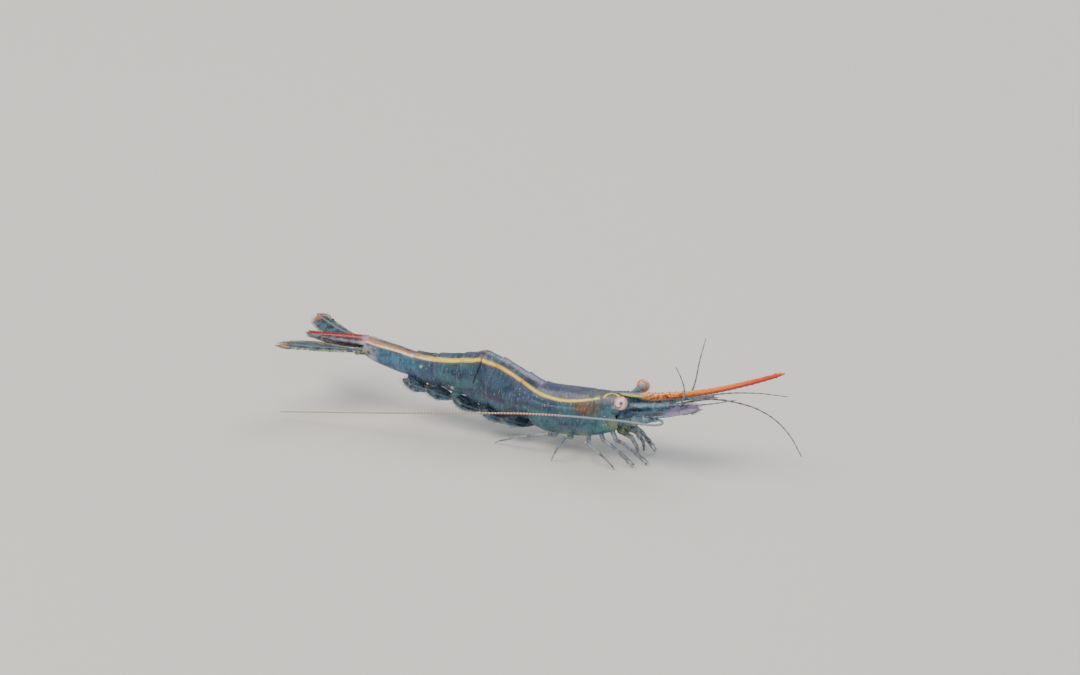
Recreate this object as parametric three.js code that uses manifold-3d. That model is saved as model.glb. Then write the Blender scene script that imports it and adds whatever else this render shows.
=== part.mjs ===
// A life-size still model of a long-nosed freshwater shrimp, standing on its walking legs.
// Lengths are in millimetres: +X towards the head, +Y to the animal's left, +Z up, and the floor at z = 0.
// While it is modelled, x = 0 is the plane of the eyes. The finished group is centred over its own box.

import * as THREE from "three";
import { mergeVertices } from "three/addons/utils/BufferGeometryUtils.js";
import Module from "manifold-3d";

const wasm = await Module();
wasm.setup();

// ---- Driving dimensions ----

const EYE_HEIGHT = 4.9; // floor to the middle of the eyes
const EYE_SPREAD = 1.9; // middle line to the middle of each eye
const EYE_RADIUS = 0.53;
const GAP = 0.1; // clearance that each piece keeps to the pieces before it
const LIMB = 0.26; // half thickness of a leg
const FEELER = 0.25; // half thickness of a feeler
const BLADE = 0.5; // thickness of fins and scales
const FOOT_HEIGHT = 0.32; // length of the upright end of each foot, above its flat

// The back and the half width of the body, from the front of the carapace to the end of the sixth ring.
const BODY = [
  { at: 0.6, back: 4.75, half: 0.95 },
  { at: -0.8, back: 4.84, half: 1.2 },
  { at: -2.6, back: 4.78, half: 1.55 },
  { at: -4.6, back: 4.66, half: 1.7 },
  { at: -6.6, back: 4.52, half: 1.62 },
  { at: -7.6, back: 4.68, half: 1.52 },
  { at: -8.9, back: 5.2, half: 1.5 },
  { at: -10.3, back: 5.76, half: 1.46 },
  { at: -11.4, back: 6.1, half: 1.4 },
  { at: -12.1, back: 6.26, half: 1.34 },
  { at: -12.8, back: 5.98, half: 1.26 },
  { at: -14.2, back: 5.66, half: 1.16 },
  { at: -16, back: 5.32, half: 1.0 },
  { at: -17.8, back: 5.2, half: 0.86 },
  { at: -19.3, back: 5.4, half: 0.74 },
  { at: -21.7, back: 5.68, half: 0.6 },
];

// The joint lines behind the carapace and behind each ring: x at mid height, lean of the upper end, and how far
// the side of the plate in front bows back over the next one.
const JOINTS = [
  { at: -7.15, lean: 0.06, bow: 0.5 },
  { at: -8.75, lean: 0.16, bow: 0.25 },
  { at: -10.85, lean: 0.16, bow: 0.3 },
  { at: -13.45, lean: -0.06, bow: 0.3 },
  { at: -15.4, lean: -0.14, bow: 0.25 },
  { at: -17.35, lean: -0.1, bow: 0.2 },
  { at: -21.6, lean: 0.08, bow: 0.1 },
];

// The lower edge of each plate at its front and its rear, and how far its rounded lobe hangs lower between them.
const RINGS = [
  { name: "abdomen_ring_1", front: 1.75, rear: 1.85, lobe: 0.15 },
  { name: "abdomen_ring_2", front: 1.75, rear: 2.1, lobe: 0.35 },
  { name: "abdomen_ring_3", front: 2.15, rear: 2.7, lobe: 0.35 },
  { name: "abdomen_ring_4", front: 2.65, rear: 3.05, lobe: 0.25 },
  { name: "abdomen_ring_5", front: 3.0, rear: 3.2, lobe: 0.2 },
  { name: "abdomen_ring_6", front: 3.1, rear: 4.1, lobe: 0.1 },
];

const CARAPACE_BOTTOM = { front: 1.95, rear: 1.2, lobe: 0.5 };
const ORBIT_X = -0.75; // front edge of the carapace at the back
const CHEEK_REACH = 0.45; // how much further forward its lower corner is

const ROSTRUM = { reach: 12.4, rise: 3.96, rootDepth: 0.62, tipDepth: 0.5, halfThickness: 0.27 };

const COLOURS = {
  shell: { color: 0x2f5a6b, roughness: 0.25 },
  rostrum: { color: 0xe2581f, roughness: 0.35 },
  eye: { color: 0xe3a17c, roughness: 0.2 },
  limb: { color: 0x6f8791, roughness: 0.35 },
  feeler: { color: 0xc9a88f, roughness: 0.4 },
  fin: { color: 0x3d6f78, roughness: 0.3 },
};

// ---- Shape helpers ----

const point = (x, y, z) => new THREE.Vector3(x, y, z);
const mix = THREE.MathUtils.lerp;
const DOWN = point(0, 0, -1);

// The value of a named column at x, on a smooth curve through the stations, which run from front to rear.
function along(stations, x, key) {
  const last = stations.length - 1;
  let i = stations.findIndex((s) => s.at <= x);
  if (i < 0) return stations[last][key];
  if (i === 0) return stations[0][key];
  const [p0, p1, p2, p3] = [i - 2, i - 1, i, i + 1].map((n) => stations[THREE.MathUtils.clamp(n, 0, last)]);
  const span = p2.at - p1.at;
  const t = (x - p1.at) / span;
  const slopeIn = p0 === p1 ? 0 : ((p2[key] - p0[key]) / (p2.at - p0.at)) * span;
  const slopeOut = p3 === p2 ? 0 : ((p3[key] - p1[key]) / (p3.at - p1.at)) * span;
  const [t2, t3] = [t * t, t * t * t];
  return (
    (2 * t3 - 3 * t2 + 1) * p1[key] +
    (t3 - 2 * t2 + t) * slopeIn +
    (3 * t2 - 2 * t3) * p2[key] +
    (t3 - t2) * slopeOut
  );
}

// A closed skin over rings of equal length, with a flat fan at each end.
function loft(rings) {
  const sides = rings[0].length;
  const positions = rings.flat().flatMap((p) => [p.x, p.y, p.z]);
  const faces = [];
  for (let i = 0; i + 1 < rings.length; i++)
    for (let j = 0; j < sides; j++) {
      const [a, b] = [i * sides + j, i * sides + ((j + 1) % sides)];
      faces.push(a, b, b + sides, a, b + sides, a + sides);
    }
  for (const [ring, first] of [
    [rings[0], 0],
    [rings.at(-1), (rings.length - 1) * sides],
  ]) {
    const middle = ring.reduce((sum, p) => sum.add(p), point(0, 0, 0)).divideScalar(sides);
    const centre = positions.length / 3;
    positions.push(middle.x, middle.y, middle.z);
    for (let j = 0; j < sides; j++) {
      const [a, b] = [first + j, first + ((j + 1) % sides)];
      faces.push(...(first ? [centre, a, b] : [centre, b, a]));
    }
  }
  const geometry = new THREE.BufferGeometry();
  geometry.setAttribute("position", new THREE.Float32BufferAttribute(positions, 3));
  geometry.setIndex(faces);
  return geometry;
}

// The direction of a path of points at point i, and across it a direction as near as can be to `wide`.
function frameAt(path, i, wide, endDirection) {
  const back = path[i].clone().sub(path[Math.max(i - 1, 0)]).normalize();
  const ahead = path[Math.min(i + 1, path.length - 1)].clone().sub(path[i]).normalize();
  const forward = back.add(ahead).normalize();
  if (endDirection && i === path.length - 1) forward.copy(endDirection);
  const side = wide.clone().addScaledVector(forward, -wide.dot(forward)).normalize();
  return { forward, side, up: forward.clone().cross(side) };
}

// A round or flattened bar along a path of points. size(t) gives its half width and half height.
function bar(path, size, { wide = point(0, 1, 0), sides = 8, grow = 0, endDirection } = {}) {
  const rings = path.map((p, i) => {
    const { side, up } = frameAt(path, i, wide, endDirection);
    const [halfWide, halfHigh] = size(i / (path.length - 1));
    return Array.from({ length: sides }, (_, j) => {
      const turn = ((j + 0.5) / sides) * 2 * Math.PI;
      return p
        .clone()
        .addScaledVector(side, (halfWide + grow) * Math.cos(turn))
        .addScaledVector(up, (halfHigh + grow) * Math.sin(turn));
    });
  });
  return loft(rings);
}

const curve = (points, steps) => new THREE.CatmullRomCurve3(points, false, "centripetal").getPoints(steps);

// A thin round feeler with a slightly slimmer tip.
const feeler = (points, steps, grow) =>
  bar(curve(points, steps), (t) => [FEELER * mix(1.15, 0.95, t), FEELER * mix(1.15, 0.95, t)], {
    sides: 6,
    grow,
    wide: point(0.3, 1, 0.2),
  });

// A flat blade, broadest at the share `broad` of its length and rounded at its end.
function blade(points, { width, broad = 0.55, root = 0.4, wide, steps = 8, grow = 0 }) {
  const half = (t) => {
    const swell = t < broad ? mix(root, 1, Math.sin((t / broad) * (Math.PI / 2))) : 1;
    const rounding = t < broad ? 1 : Math.sqrt(Math.max(1 - ((t - broad) / (1 - broad)) ** 3, 0.1));
    return (width / 2) * swell * rounding;
  };
  return bar(curve(points, steps), (t) => [half(t), BLADE / 2], { wide, sides: 8, grow });
}

// ---- Body plates ----

const PLATE_SIDES = 20;
const mirror = (side, x, y, z) => point(x, side * y, z);

// x of joint line k at height share h, where h runs from 0 at the lower edge to 1 at the back.
function jointLine(k, h) {
  if (k < 0) return ORBIT_X + CHEEK_REACH * (1 - h) ** 1.3;
  const { at, lean, bow } = JOINTS[k];
  return at + lean * (h - 0.5) * 4 - bow * Math.sin(Math.PI * h);
}

// One plate of the body between two joint lines: rounded back, full sides and a lobed lower edge.
function plate(k, { front, rear, lobe }, rings, grow = 0) {
  const inset = GAP / 2 - grow;
  return loft(
    Array.from({ length: rings }, (_, i) => {
      const share = i / (rings - 1);
      const lower = mix(front, rear, share) - lobe * Math.sin(Math.PI * share) - grow;
      return Array.from({ length: PLATE_SIDES }, (_, j) => {
        const turn = (j / PLATE_SIDES) * 2 * Math.PI;
        const h = (1 + Math.cos(turn)) / 2;
        const x = mix(jointLine(k - 1, h) - inset, jointLine(k, h) + inset, share);
        const back = along(BODY, x, "back") + grow;
        const half = along(BODY, x, "half") + grow;
        const across = Math.sign(Math.sin(turn)) * Math.abs(Math.sin(turn)) ** 0.8 * (1 - 0.16 * Math.cos(turn));
        return point(x, half * across, mix(lower, back, h));
      });
    }),
  );
}

// The long blade of the nose: level at its root and curving up to its tip.
function rostrum(grow) {
  const start = ORBIT_X - 0.1;
  const path = Array.from({ length: 15 }, (_, i) => {
    const x = mix(start, ROSTRUM.reach, i / 14);
    const ahead = Math.max(x, 0) / ROSTRUM.reach;
    return point(x, 0, EYE_HEIGHT - 0.04 + ROSTRUM.rise * ahead ** 1.5);
  });
  const size = (t) => [ROSTRUM.halfThickness, mix(ROSTRUM.rootDepth, ROSTRUM.tipDepth, t ** 0.6) / 2];
  return bar(path, size, { grow, sides: 8 });
}

// ---- Head ----

const mouthparts = (grow) => {
  const ball = new THREE.SphereGeometry(1, 14, 9);
  return ball.scale(0.85 + grow, 0.85 + grow, 0.85 + grow).translate(-0.5, 0, 2.75);
};

const eye = (side) => (grow) =>
  new THREE.SphereGeometry(EYE_RADIUS + grow, 12, 9).translate(0, side * EYE_SPREAD, EYE_HEIGHT);

const eyestalk = (side) => (grow) =>
  bar(
    [mirror(side, -0.35, 0.5, 4.62), mirror(side, -0.2, 0.95, 4.72), mirror(side, -0.08, 1.5, EYE_HEIGHT - 0.06)],
    (t) => [mix(0.3, 0.4, t), mix(0.3, 0.4, t)],
    { grow, wide: point(1, 0, 0) },
  );

const antennuleBase = (side) => (grow) =>
  bar(
    curve([mirror(side, 0.1, 0.75, 4.15), mirror(side, 2.2, 0.78, 4.55), mirror(side, 4.3, 0.75, 5.12)], 6),
    (t) => [mix(0.42, 0.28, t), mix(0.42, 0.28, t)],
    { grow },
  );

const antennaBase = (side) => (grow) =>
  bar(
    curve([mirror(side, 0.1, 1.2, 3.2), mirror(side, 1.4, 1.5, 3.65), mirror(side, 2.7, 1.6, 4.0)], 5),
    (t) => [mix(0.5, 0.32, t), mix(0.5, 0.32, t)],
    { grow },
  );

const antennaScale = (side) => (grow) =>
  blade([mirror(side, 0.9, 1.2, 4.0), mirror(side, 3.2, 1.5, 4.5), mirror(side, 6.1, 1.25, 5.35)], {
    width: 1.35,
    broad: 0.4,
    root: 0.5,
    wide: point(0, side, -0.55),
    grow,
  });

// Each feeler's path. The right antenna sweeps back along the flank and the left one arcs ahead to the floor.
const FEELERS = {
  antennule_outer_right: {
    steps: 8,
    path: [point(4.35, -0.75, 5.14), point(4.75, -0.95, 6.2), point(4.65, -1.2, 7.3), point(4.3, -1.5, 8.4)],
  },
  antennule_outer_left: {
    steps: 9,
    path: [point(4.35, 0.75, 5.14), point(4.65, 1.1, 6.4), point(4.8, 1.5, 7.9), point(5.05, 2.0, 9.5)],
  },
  antennule_inner_right: {
    steps: 8,
    path: [point(4.4, -0.75, 5.1), point(6.0, -0.95, 5.5), point(7.6, -1.1, 6.0), point(9.1, -1.2, 6.55)],
  },
  antennule_inner_left: {
    steps: 8,
    path: [point(4.4, 0.75, 5.1), point(7.2, 0.9, 5.95), point(9.9, 1.0, 6.4), point(12.2, 1.1, 6.5)],
  },
  antenna_right: {
    steps: 23,
    path: [
      point(2.7, -1.6, 4.0),
      point(3.3, -1.85, 4.08),
      point(3.55, -2.3, 4.05),
      point(3.0, -2.65, 3.98),
      point(0, -2.6, 3.8),
      point(-6.4, -3.1, 3.35),
      point(-12, -3.7, 2.65),
      point(-18, -4.3, 1.8),
      point(-26.4, -5.1, 0.7),
    ],
  },
  antenna_left: {
    steps: 15,
    path: [
      point(2.7, 1.6, 4.0),
      point(5.5, 2.1, 4.75),
      point(8.2, 2.6, 4.55),
      point(9.9, 3.1, 3.75),
      point(11.1, 3.6, 2.4),
      point(11.9, 4.1, 0.6),
    ],
  },
};

// ---- Legs ----

// A leg from its root under the carapace through its joints to an upright foot, which ends in a flat at z = 0.
function leg(points, thickness = LIMB) {
  const foot = points.at(-1);
  const ankle = point(foot.x, foot.y, FOOT_HEIGHT);
  const path = curve([...points.slice(0, -1), ankle], 8);
  path.push(point(foot.x, foot.y, 0));
  return (grow) =>
    bar(path, (t) => [thickness * mix(1.2, 1, t), thickness * mix(1.2, 1, t)], {
      grow,
      sides: 6,
      wide: point(0.9, 0.35, 0.1),
      endDirection: DOWN,
    });
}

// A short clawed leg held under the head, with the closed claw as a swelling at its end.
function clawedLeg(points) {
  const path = curve(points, 8);
  const swell = (t) => LIMB * (1.05 + 0.45 * Math.exp(-(((t - 0.82) / 0.12) ** 2)));
  return (grow) => bar(path, (t) => [swell(t), swell(t)], { grow, sides: 6, wide: point(0.3, 1, 0.2) });
}

const LEGS = {
  maxilliped: {
    right: [point(-0.6, -0.42, 1.95), point(0.2, -0.5, 1.75), point(0.65, -0.55, 1.1), point(0.75, -0.5, 0.45)],
    left: [point(-0.6, 0.42, 1.95), point(0.2, 0.5, 1.75), point(0.65, 0.55, 1.1), point(0.75, 0.5, 0.45)],
  },
  claw_leg_1: {
    right: [point(-1.1, -0.85, 1.5), point(-0.1, -1.4, 1.55), point(0.9, -1.4, 1.0), point(1.7, -1.25, 0.35)],
    left: [point(-1.1, 0.85, 1.5), point(-0.3, 1.4, 1.55), point(0.6, 1.45, 1.0), point(1.2, 1.25, 0.4)],
  },
  claw_leg_2: {
    right: [point(-2.0, -0.95, 1.35), point(-1.1, -2.05, 1.7), point(0, -2.25, 1.2), point(0.95, -2.1, 0.35)],
    left: [point(-2.0, 0.95, 1.35), point(-1.3, 2.0, 1.7), point(-0.3, 2.2, 1.2), point(0.4, 2.1, 0.4)],
  },
  walking_leg_1: {
    right: [point(-3.0, -1.05, 1.2), point(-2.5, -2.6, 1.6), point(-0.95, -3.0, 0.95), point(0, -3.0, 0)],
    left: [point(-3.0, 1.05, 1.2), point(-2.6, 2.5, 1.8), point(-1.5, 3.0, 1.1), point(-0.9, 3.0, 0)],
  },
  walking_leg_2: {
    right: [point(-4.3, -1.1, 1.15), point(-4.1, -2.7, 1.85), point(-4.5, -3.3, 1.1), point(-4.9, -3.5, 0)],
    left: [point(-4.3, 1.1, 1.15), point(-4.2, 2.6, 1.9), point(-4.8, 3.1, 1.15), point(-5.4, 3.3, 0)],
  },
  walking_leg_3: {
    right: [point(-5.5, -1.1, 1.15), point(-5.9, -2.2, 1.5), point(-7.6, -2.4, 1.15), point(-10.2, -2.2, 0)],
    left: [point(-5.5, 1.1, 1.15), point(-5.9, 2.2, 1.6), point(-7.5, 2.6, 1.2), point(-9.9, 2.6, 0)],
  },
};

// ---- Swimming legs and tail ----

// The line that the folded swimming legs reach down to under the body.
const bellyLine = (x) => 1.0 + 0.2 * Math.max(-8.2 - x, 0);

// Swimming leg n of one side, folded back under its ring.
const swimmingLeg = (n, side) => (grow) => {
  const rootX = (JOINTS[n - 1].at + JOINTS[n].at) / 2 + 0.35;
  const { front, rear, lobe } = RINGS[n - 1];
  const root = mirror(side, rootX, 0.62, (front + rear) / 2 - lobe - BLADE / 2 - GAP);
  const tipX = rootX - mix(2.3, 1.9, n / 5);
  const tip = mirror(side, tipX, 0.66, bellyLine(tipX) + BLADE / 2);
  const bend = mirror(side, (rootX + tipX) / 2, 0.66, (root.z + tip.z) / 2 - 0.05);
  return blade([root, bend, tip], { width: mix(1.05, 0.8, n / 5), root: 0.6, wide: point(0, 1, 0), steps: 5, grow });
};

const telson = (grow) =>
  bar(
    curve([point(-21.8, 0, 5.2), point(-24.2, 0, 5.05), point(-26.6, 0, 4.86)], 6),
    (t) => [mix(0.62, 0.3, t), mix(0.32, 0.25, t)],
    { grow, sides: 10 },
  );

// The fan is held a little askew: the right blades lie flat, and the left outer one is raised at its edge and leaves
// the body closer to the telson.
const innerTailBlade = (side) => (grow) => {
  const [middle, end] = side < 0 ? [4.68, 4.74] : [4.5, 4.55];
  return blade([mirror(side, -21.95, 0.4, 4.5), mirror(side, -24.2, 0.82, middle), mirror(side, -27.35, 1.45, end)], {
    width: 1.1,
    wide: point(0, side, side < 0 ? 0 : 0.1),
    grow,
  });
};

const outerTailBlade = (side) => (grow) => {
  const points =
    side < 0
      ? [point(-21.95, -0.72, 4.75), point(-24.3, -2.15, 5.0), point(-27.45, -3.2, 5.18)]
      : [point(-21.95, 0.66, 4.82), point(-24.4, 1.3, 5.08), point(-27.45, 3.05, 5.24)];
  const wide = side < 0 ? point(-0.1, side, 0) : point(-0.35, side, 0.2);
  return blade(points, { width: 1.3, root: 0.36, wide, grow });
};

// ---- Solids ----

// Every piece in order: a name, a finish and a maker that can grow the piece by a clearance.
const pieces = [
  ["carapace", "shell", (grow) => plate(0, CARAPACE_BOTTOM, 9, grow)],
  ...RINGS.map((ring, i) => [ring.name, "shell", (grow) => plate(i + 1, ring, i === 5 ? 6 : 5, grow)]),
  ["rostrum", "rostrum", rostrum],
  ["mouthparts", "shell", mouthparts],
  ["telson", "fin", telson],
];
for (const [where, side] of [
  ["right", -1],
  ["left", 1],
]) {
  pieces.push(
    [`eye_${where}`, "eye", eye(side)],
    [`eyestalk_${where}`, "shell", eyestalk(side)],
    [`antennule_base_${where}`, "shell", antennuleBase(side)],
    [`antenna_base_${where}`, "shell", antennaBase(side)],
    [`antenna_scale_${where}`, "fin", antennaScale(side)],
    [`tail_blade_inner_${where}`, "fin", innerTailBlade(side)],
    [`tail_blade_outer_${where}`, "fin", outerTailBlade(side)],
  );
  for (const [name, points] of Object.entries(LEGS)) {
    const make = name.startsWith("walking") ? leg(points[where]) : clawedLeg(points[where]);
    pieces.push([`${name}_${where}`, "limb", make]);
  }
  for (let n = 1; n <= 5; n++) pieces.push([`swimming_leg_${n}_${where}`, "limb", swimmingLeg(n, side)]);
}
for (const [name, { path, steps }] of Object.entries(FEELERS))
  pieces.push([name, "feeler", (grow) => feeler(path, steps, grow)]);

// A closed geometry as a manifold solid, with its faces turned outwards.
function toSolid(geometry) {
  geometry.deleteAttribute("normal");
  geometry.deleteAttribute("uv");
  const merged = mergeVertices(geometry, 1e-4);
  const build = (triVerts) =>
    new wasm.Manifold(new wasm.Mesh({ numProp: 3, vertProperties: merged.attributes.position.array, triVerts }));
  const triVerts = new Uint32Array(merged.index.array);
  const solid = build(triVerts);
  return solid.volume() > 0 ? solid : build(triVerts.slice().reverse());
}

// What is left of a piece once it clears every piece before it, without any sliver that the cut leaves.
function clearOf(solid, box, earlier) {
  let left = solid;
  for (const other of earlier) if (other.box.intersectsBox(box)) left = left.subtract(other.grown);
  return left.decompose().sort((a, b) => b.volume() - a.volume())[0];
}

function toMesh(name, finish, solid) {
  const { vertProperties, triVerts, numProp } = solid.getMesh();
  const positions = [];
  for (let i = 0; i < vertProperties.length; i += numProp)
    positions.push(vertProperties[i], vertProperties[i + 1], vertProperties[i + 2]);
  const geometry = new THREE.BufferGeometry();
  geometry.setAttribute("position", new THREE.Float32BufferAttribute(positions, 3));
  geometry.setIndex([...triVerts]);
  geometry.computeVertexNormals();
  const mesh = new THREE.Mesh(geometry, new THREE.MeshStandardMaterial({ ...COLOURS[finish], metalness: 0 }));
  mesh.name = name;
  return mesh;
}

const shrimp = new THREE.Group();
const earlier = [];
for (const [name, finish, make] of pieces) {
  const geometry = make(0);
  geometry.computeBoundingBox();
  const box = geometry.boundingBox.clone().expandByScalar(GAP);
  shrimp.add(toMesh(name, finish, clearOf(toSolid(geometry), box, earlier)));
  earlier.push({ box, grown: toSolid(make(GAP)) });
}

// The origin is on the floor, under the middle of the whole animal's box.
const whole = new THREE.Box3().setFromObject(shrimp);
const middle = whole.getCenter(point(0, 0, 0));
shrimp.position.set(-middle.x, -middle.y, 0);

export default shrimp;
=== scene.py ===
"""A still, life-size model of a long-nosed freshwater shrimp, standing on its walking legs.

The classes give their sizes in millimetres in the animal's own frame: x is 0 at the eyes and grows towards the
head, y grows to the animal's left, and z is the height over the floor. Surface.build turns them into metres.
"""

import logging
import math
import random
from collections.abc import Callable, Iterable, Sequence
from dataclasses import dataclass, field
from enum import Enum
from functools import cached_property

import bmesh
import bpy
import numpy as np
from mathutils import Matrix, Vector


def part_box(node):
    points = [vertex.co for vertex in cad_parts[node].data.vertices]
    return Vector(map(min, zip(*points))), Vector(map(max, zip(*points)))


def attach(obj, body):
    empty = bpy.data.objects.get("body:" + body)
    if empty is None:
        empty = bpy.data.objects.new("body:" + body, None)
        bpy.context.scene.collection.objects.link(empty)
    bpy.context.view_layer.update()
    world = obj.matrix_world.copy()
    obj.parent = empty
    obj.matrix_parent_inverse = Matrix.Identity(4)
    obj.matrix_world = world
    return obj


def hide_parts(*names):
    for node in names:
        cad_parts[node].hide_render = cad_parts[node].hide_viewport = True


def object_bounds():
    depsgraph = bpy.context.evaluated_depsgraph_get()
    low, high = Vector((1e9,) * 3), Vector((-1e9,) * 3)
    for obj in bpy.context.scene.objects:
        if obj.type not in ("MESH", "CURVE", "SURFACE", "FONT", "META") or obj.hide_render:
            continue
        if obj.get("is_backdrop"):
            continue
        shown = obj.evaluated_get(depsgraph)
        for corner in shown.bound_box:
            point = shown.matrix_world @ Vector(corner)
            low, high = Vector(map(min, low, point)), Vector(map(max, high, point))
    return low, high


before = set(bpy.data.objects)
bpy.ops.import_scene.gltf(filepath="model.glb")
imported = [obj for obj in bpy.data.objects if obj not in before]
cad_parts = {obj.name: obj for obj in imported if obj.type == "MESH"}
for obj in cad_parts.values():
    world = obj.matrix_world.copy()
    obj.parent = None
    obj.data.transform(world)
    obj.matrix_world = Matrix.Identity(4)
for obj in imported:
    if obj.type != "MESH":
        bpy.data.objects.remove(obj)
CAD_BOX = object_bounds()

log = logging.getLogger("shrimp")

MM = 0.001
Socket = bpy.types.NodeSocket
Pair = tuple[float, float]
Spot = tuple[float, float, float]
Size = Callable[[float], Pair]
Share = Socket | float | tuple[Socket, float, float]
Blotch = tuple[Spot, Spot, float, float, str]


class Side(Enum):
    """The animal's two sides, with the sign of y on each."""

    RIGHT = -1
    LEFT = 1

    @property
    def word(self) -> str:
        """The side's name as the solids spell it."""
        return self.name.lower()

    def at(self, x: float, y: float, z: float) -> Vector:
        """A point that lies y to this side of the middle line."""
        return Vector((x, self.value * y, z))

    def path(self, spots: Iterable[Spot]) -> list[Vector]:
        """Several such points."""
        return [self.at(*spot) for spot in spots]


class Slot(Enum):
    """The record's material slots."""

    SHELL = "shell"
    ROSTRUM = "rostrum"
    EYE = "eye"
    FIN = "fin"
    LIMB = "limb"
    FEELER = "feeler"


def side_of(node: str) -> Side:
    """The side that a solid's name ends with."""
    return Side.RIGHT if node.endswith("right") else Side.LEFT


def centre_of(node: str) -> Vector:
    """The middle of a solid's box, in metres."""
    low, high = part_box(node)
    return (Vector(low) + Vector(high)) / 2


EYES = (centre_of("eye_right") + centre_of("eye_left")) / 2


def tint(code: str) -> tuple[float, ...]:
    """A colour in linear light, with full alpha, from screen values such as "2f5361"."""
    screen = [int(code[i : i + 2], 16) / 255 for i in (0, 2, 4)]
    return (*(c / 12.92 if c <= 0.04045 else ((c + 0.055) / 1.055) ** 2.4 for c in screen), 1.0)


def mix(a: float, b: float, share: float) -> float:
    """The value a share of the way from a to b."""
    return a + (b - a) * share


def step(low: float, high: float, value: float) -> float:
    """A smooth rise from 0 at low to 1 at high."""
    t = min(max((value - low) / (high - low), 0.0), 1.0)
    return t * t * (3 - 2 * t)


def bump(value: float, middle: float, width: float) -> float:
    """A soft bump of height 1 at its middle."""
    return math.exp(-(((value - middle) / width) ** 2))


def around(count: int) -> list[float]:
    """Equal steps of angle round a full turn, in radians."""
    return [2 * math.pi * j / count for j in range(count)]


@dataclass(frozen=True)
class Profile:
    """A value that changes smoothly along the body or a limb, through stations in rising order."""

    stations: tuple[Pair, ...]

    def __call__(self, x: float) -> float:
        """The value at a place.

        Args:
            x: the place.

        Returns:
            The value, which stays level beyond the end stations.
        """
        places = self.stations
        if x <= places[0][0]:
            return places[0][1]
        if x >= places[-1][0]:
            return places[-1][1]
        i = next(n for n, (at, _) in enumerate(places) if at >= x)
        (x1, v1), (x2, v2) = places[i - 1], places[i]
        x0, v0 = places[max(i - 2, 0)]
        x3, v3 = places[min(i + 1, len(places) - 1)]
        span = x2 - x1
        t = (x - x1) / span
        rise = (v2 - v0) / (x2 - x0) * span
        fall = (v3 - v1) / (x3 - x1) * span
        t2, t3 = t * t, t * t * t
        ends = (2 * t3 - 3 * t2 + 1) * v1 + (3 * t2 - 2 * t3) * v2
        return ends + (t3 - 2 * t2 + t) * rise + (t3 - t2) * fall


def curve(points: Sequence[Vector], steps: int) -> list[Vector]:
    """A smooth path through points.

    Args:
        points: two or more points.
        steps: how many equal parts the path has.

    Returns:
        steps + 1 points, about evenly spaced.
    """
    reach = [0.0]
    for a, b in zip(points, points[1:]):
        reach.append(reach[-1] + (b - a).length)
    axes = [Profile(tuple(zip(reach, (p[k] for p in points)))) for k in range(3)]
    return [Vector([axis(reach[-1] * i / steps) for axis in axes]) for i in range(steps + 1)]


# ---- Surfaces ----


@dataclass
class Surface:
    """The points, faces and painted marks of a mesh in the making."""

    points: list[Vector] = field(default_factory=list)
    faces: list[tuple[int, ...]] = field(default_factory=list)
    marks: dict[str, list[float]] = field(default_factory=dict)

    def add(self, other: "Surface") -> "Surface":
        """Takes in another surface.

        Args:
            other: the surface to take in.

        Returns:
            This surface. A mark that one of the two doesn't have is 0 there.
        """
        base = len(self.points)
        for name in dict.fromkeys([*self.marks, *other.marks]):
            mine = self.marks.setdefault(name, [0.0] * base)
            mine.extend(other.marks.get(name, [0.0] * len(other.points)))
        self.points.extend(other.points)
        self.faces.extend(tuple(base + i for i in face) for face in other.faces)
        return self

    def stamp(self, **values: float) -> "Surface":
        """Gives every point the same marks.

        Args:
            **values: the marks.

        Returns:
            This surface.
        """
        for name, value in values.items():
            self.marks[name] = [value] * len(self.points)
        return self

    def build(self, name: str, thickness: float = 0.0, crease: float = 50.0) -> bpy.types.Object:
        """Makes the mesh object.

        Args:
            name: the object's name.
            thickness: how thick an open surface is made, inwards, in millimetres; 0 leaves it as it is.
            crease: the angle in degrees over which an edge is sharp.

        Returns:
            The object, in metres in the row frame.
        """
        mesh = bpy.data.meshes.new(name)
        mesh.from_pydata([p * MM + Vector((EYES.x, EYES.y, 0)) for p in self.points], [], self.faces)
        for mark, values in self.marks.items():
            mesh.attributes.new(mark, "FLOAT", "POINT").data.foreach_set("value", values)
        form = bmesh.new()
        form.from_mesh(mesh)
        bmesh.ops.recalc_face_normals(form, faces=form.faces)
        form.to_mesh(mesh)
        form.free()
        made = bpy.data.objects.new(name, mesh)
        bpy.context.scene.collection.objects.link(made)
        if thickness:
            solid = made.modifiers.new("thickness", "SOLIDIFY")
            solid.thickness = thickness * MM
            solid.offset = -1
            seen = made.evaluated_get(bpy.context.evaluated_depsgraph_get())
            made.data = bpy.data.meshes.new_from_object(seen)
            made.modifiers.clear()
        made.data.polygons.foreach_set("use_smooth", [True] * len(made.data.polygons))
        made.data.set_sharp_from_angle(angle=math.radians(crease))
        return made


def skin(rows: Sequence[Sequence[Vector]], closed: bool = True, capped: bool = True) -> Surface:
    """Faces between rows of points.

    Args:
        rows: rows of equal length.
        closed: whether each row is a ring.
        capped: whether the first and last rows are closed with a fan.

    Returns:
        The surface, with points in the order of the rows and then one for each cap.
    """
    width = len(rows[0])
    made = Surface([p for row in rows for p in row])
    last = width if closed else width - 1
    for i in range(len(rows) - 1):
        for j in range(last):
            a, b = i * width + j, i * width + (j + 1) % width
            made.faces.append((a, b, b + width, a + width))
    if capped:
        for start in (0, (len(rows) - 1) * width):
            ring = made.points[start : start + width]
            made.points.append(sum(ring, Vector()) / width)
            tip = len(made.points) - 1
            made.faces.extend((tip, start + j, start + (j + 1) % width) for j in range(width))
    return made


DOME = (0.35, 0.72, 0.93)  # the widths of the rings that round off the end of a bar, from its tip inwards


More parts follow.
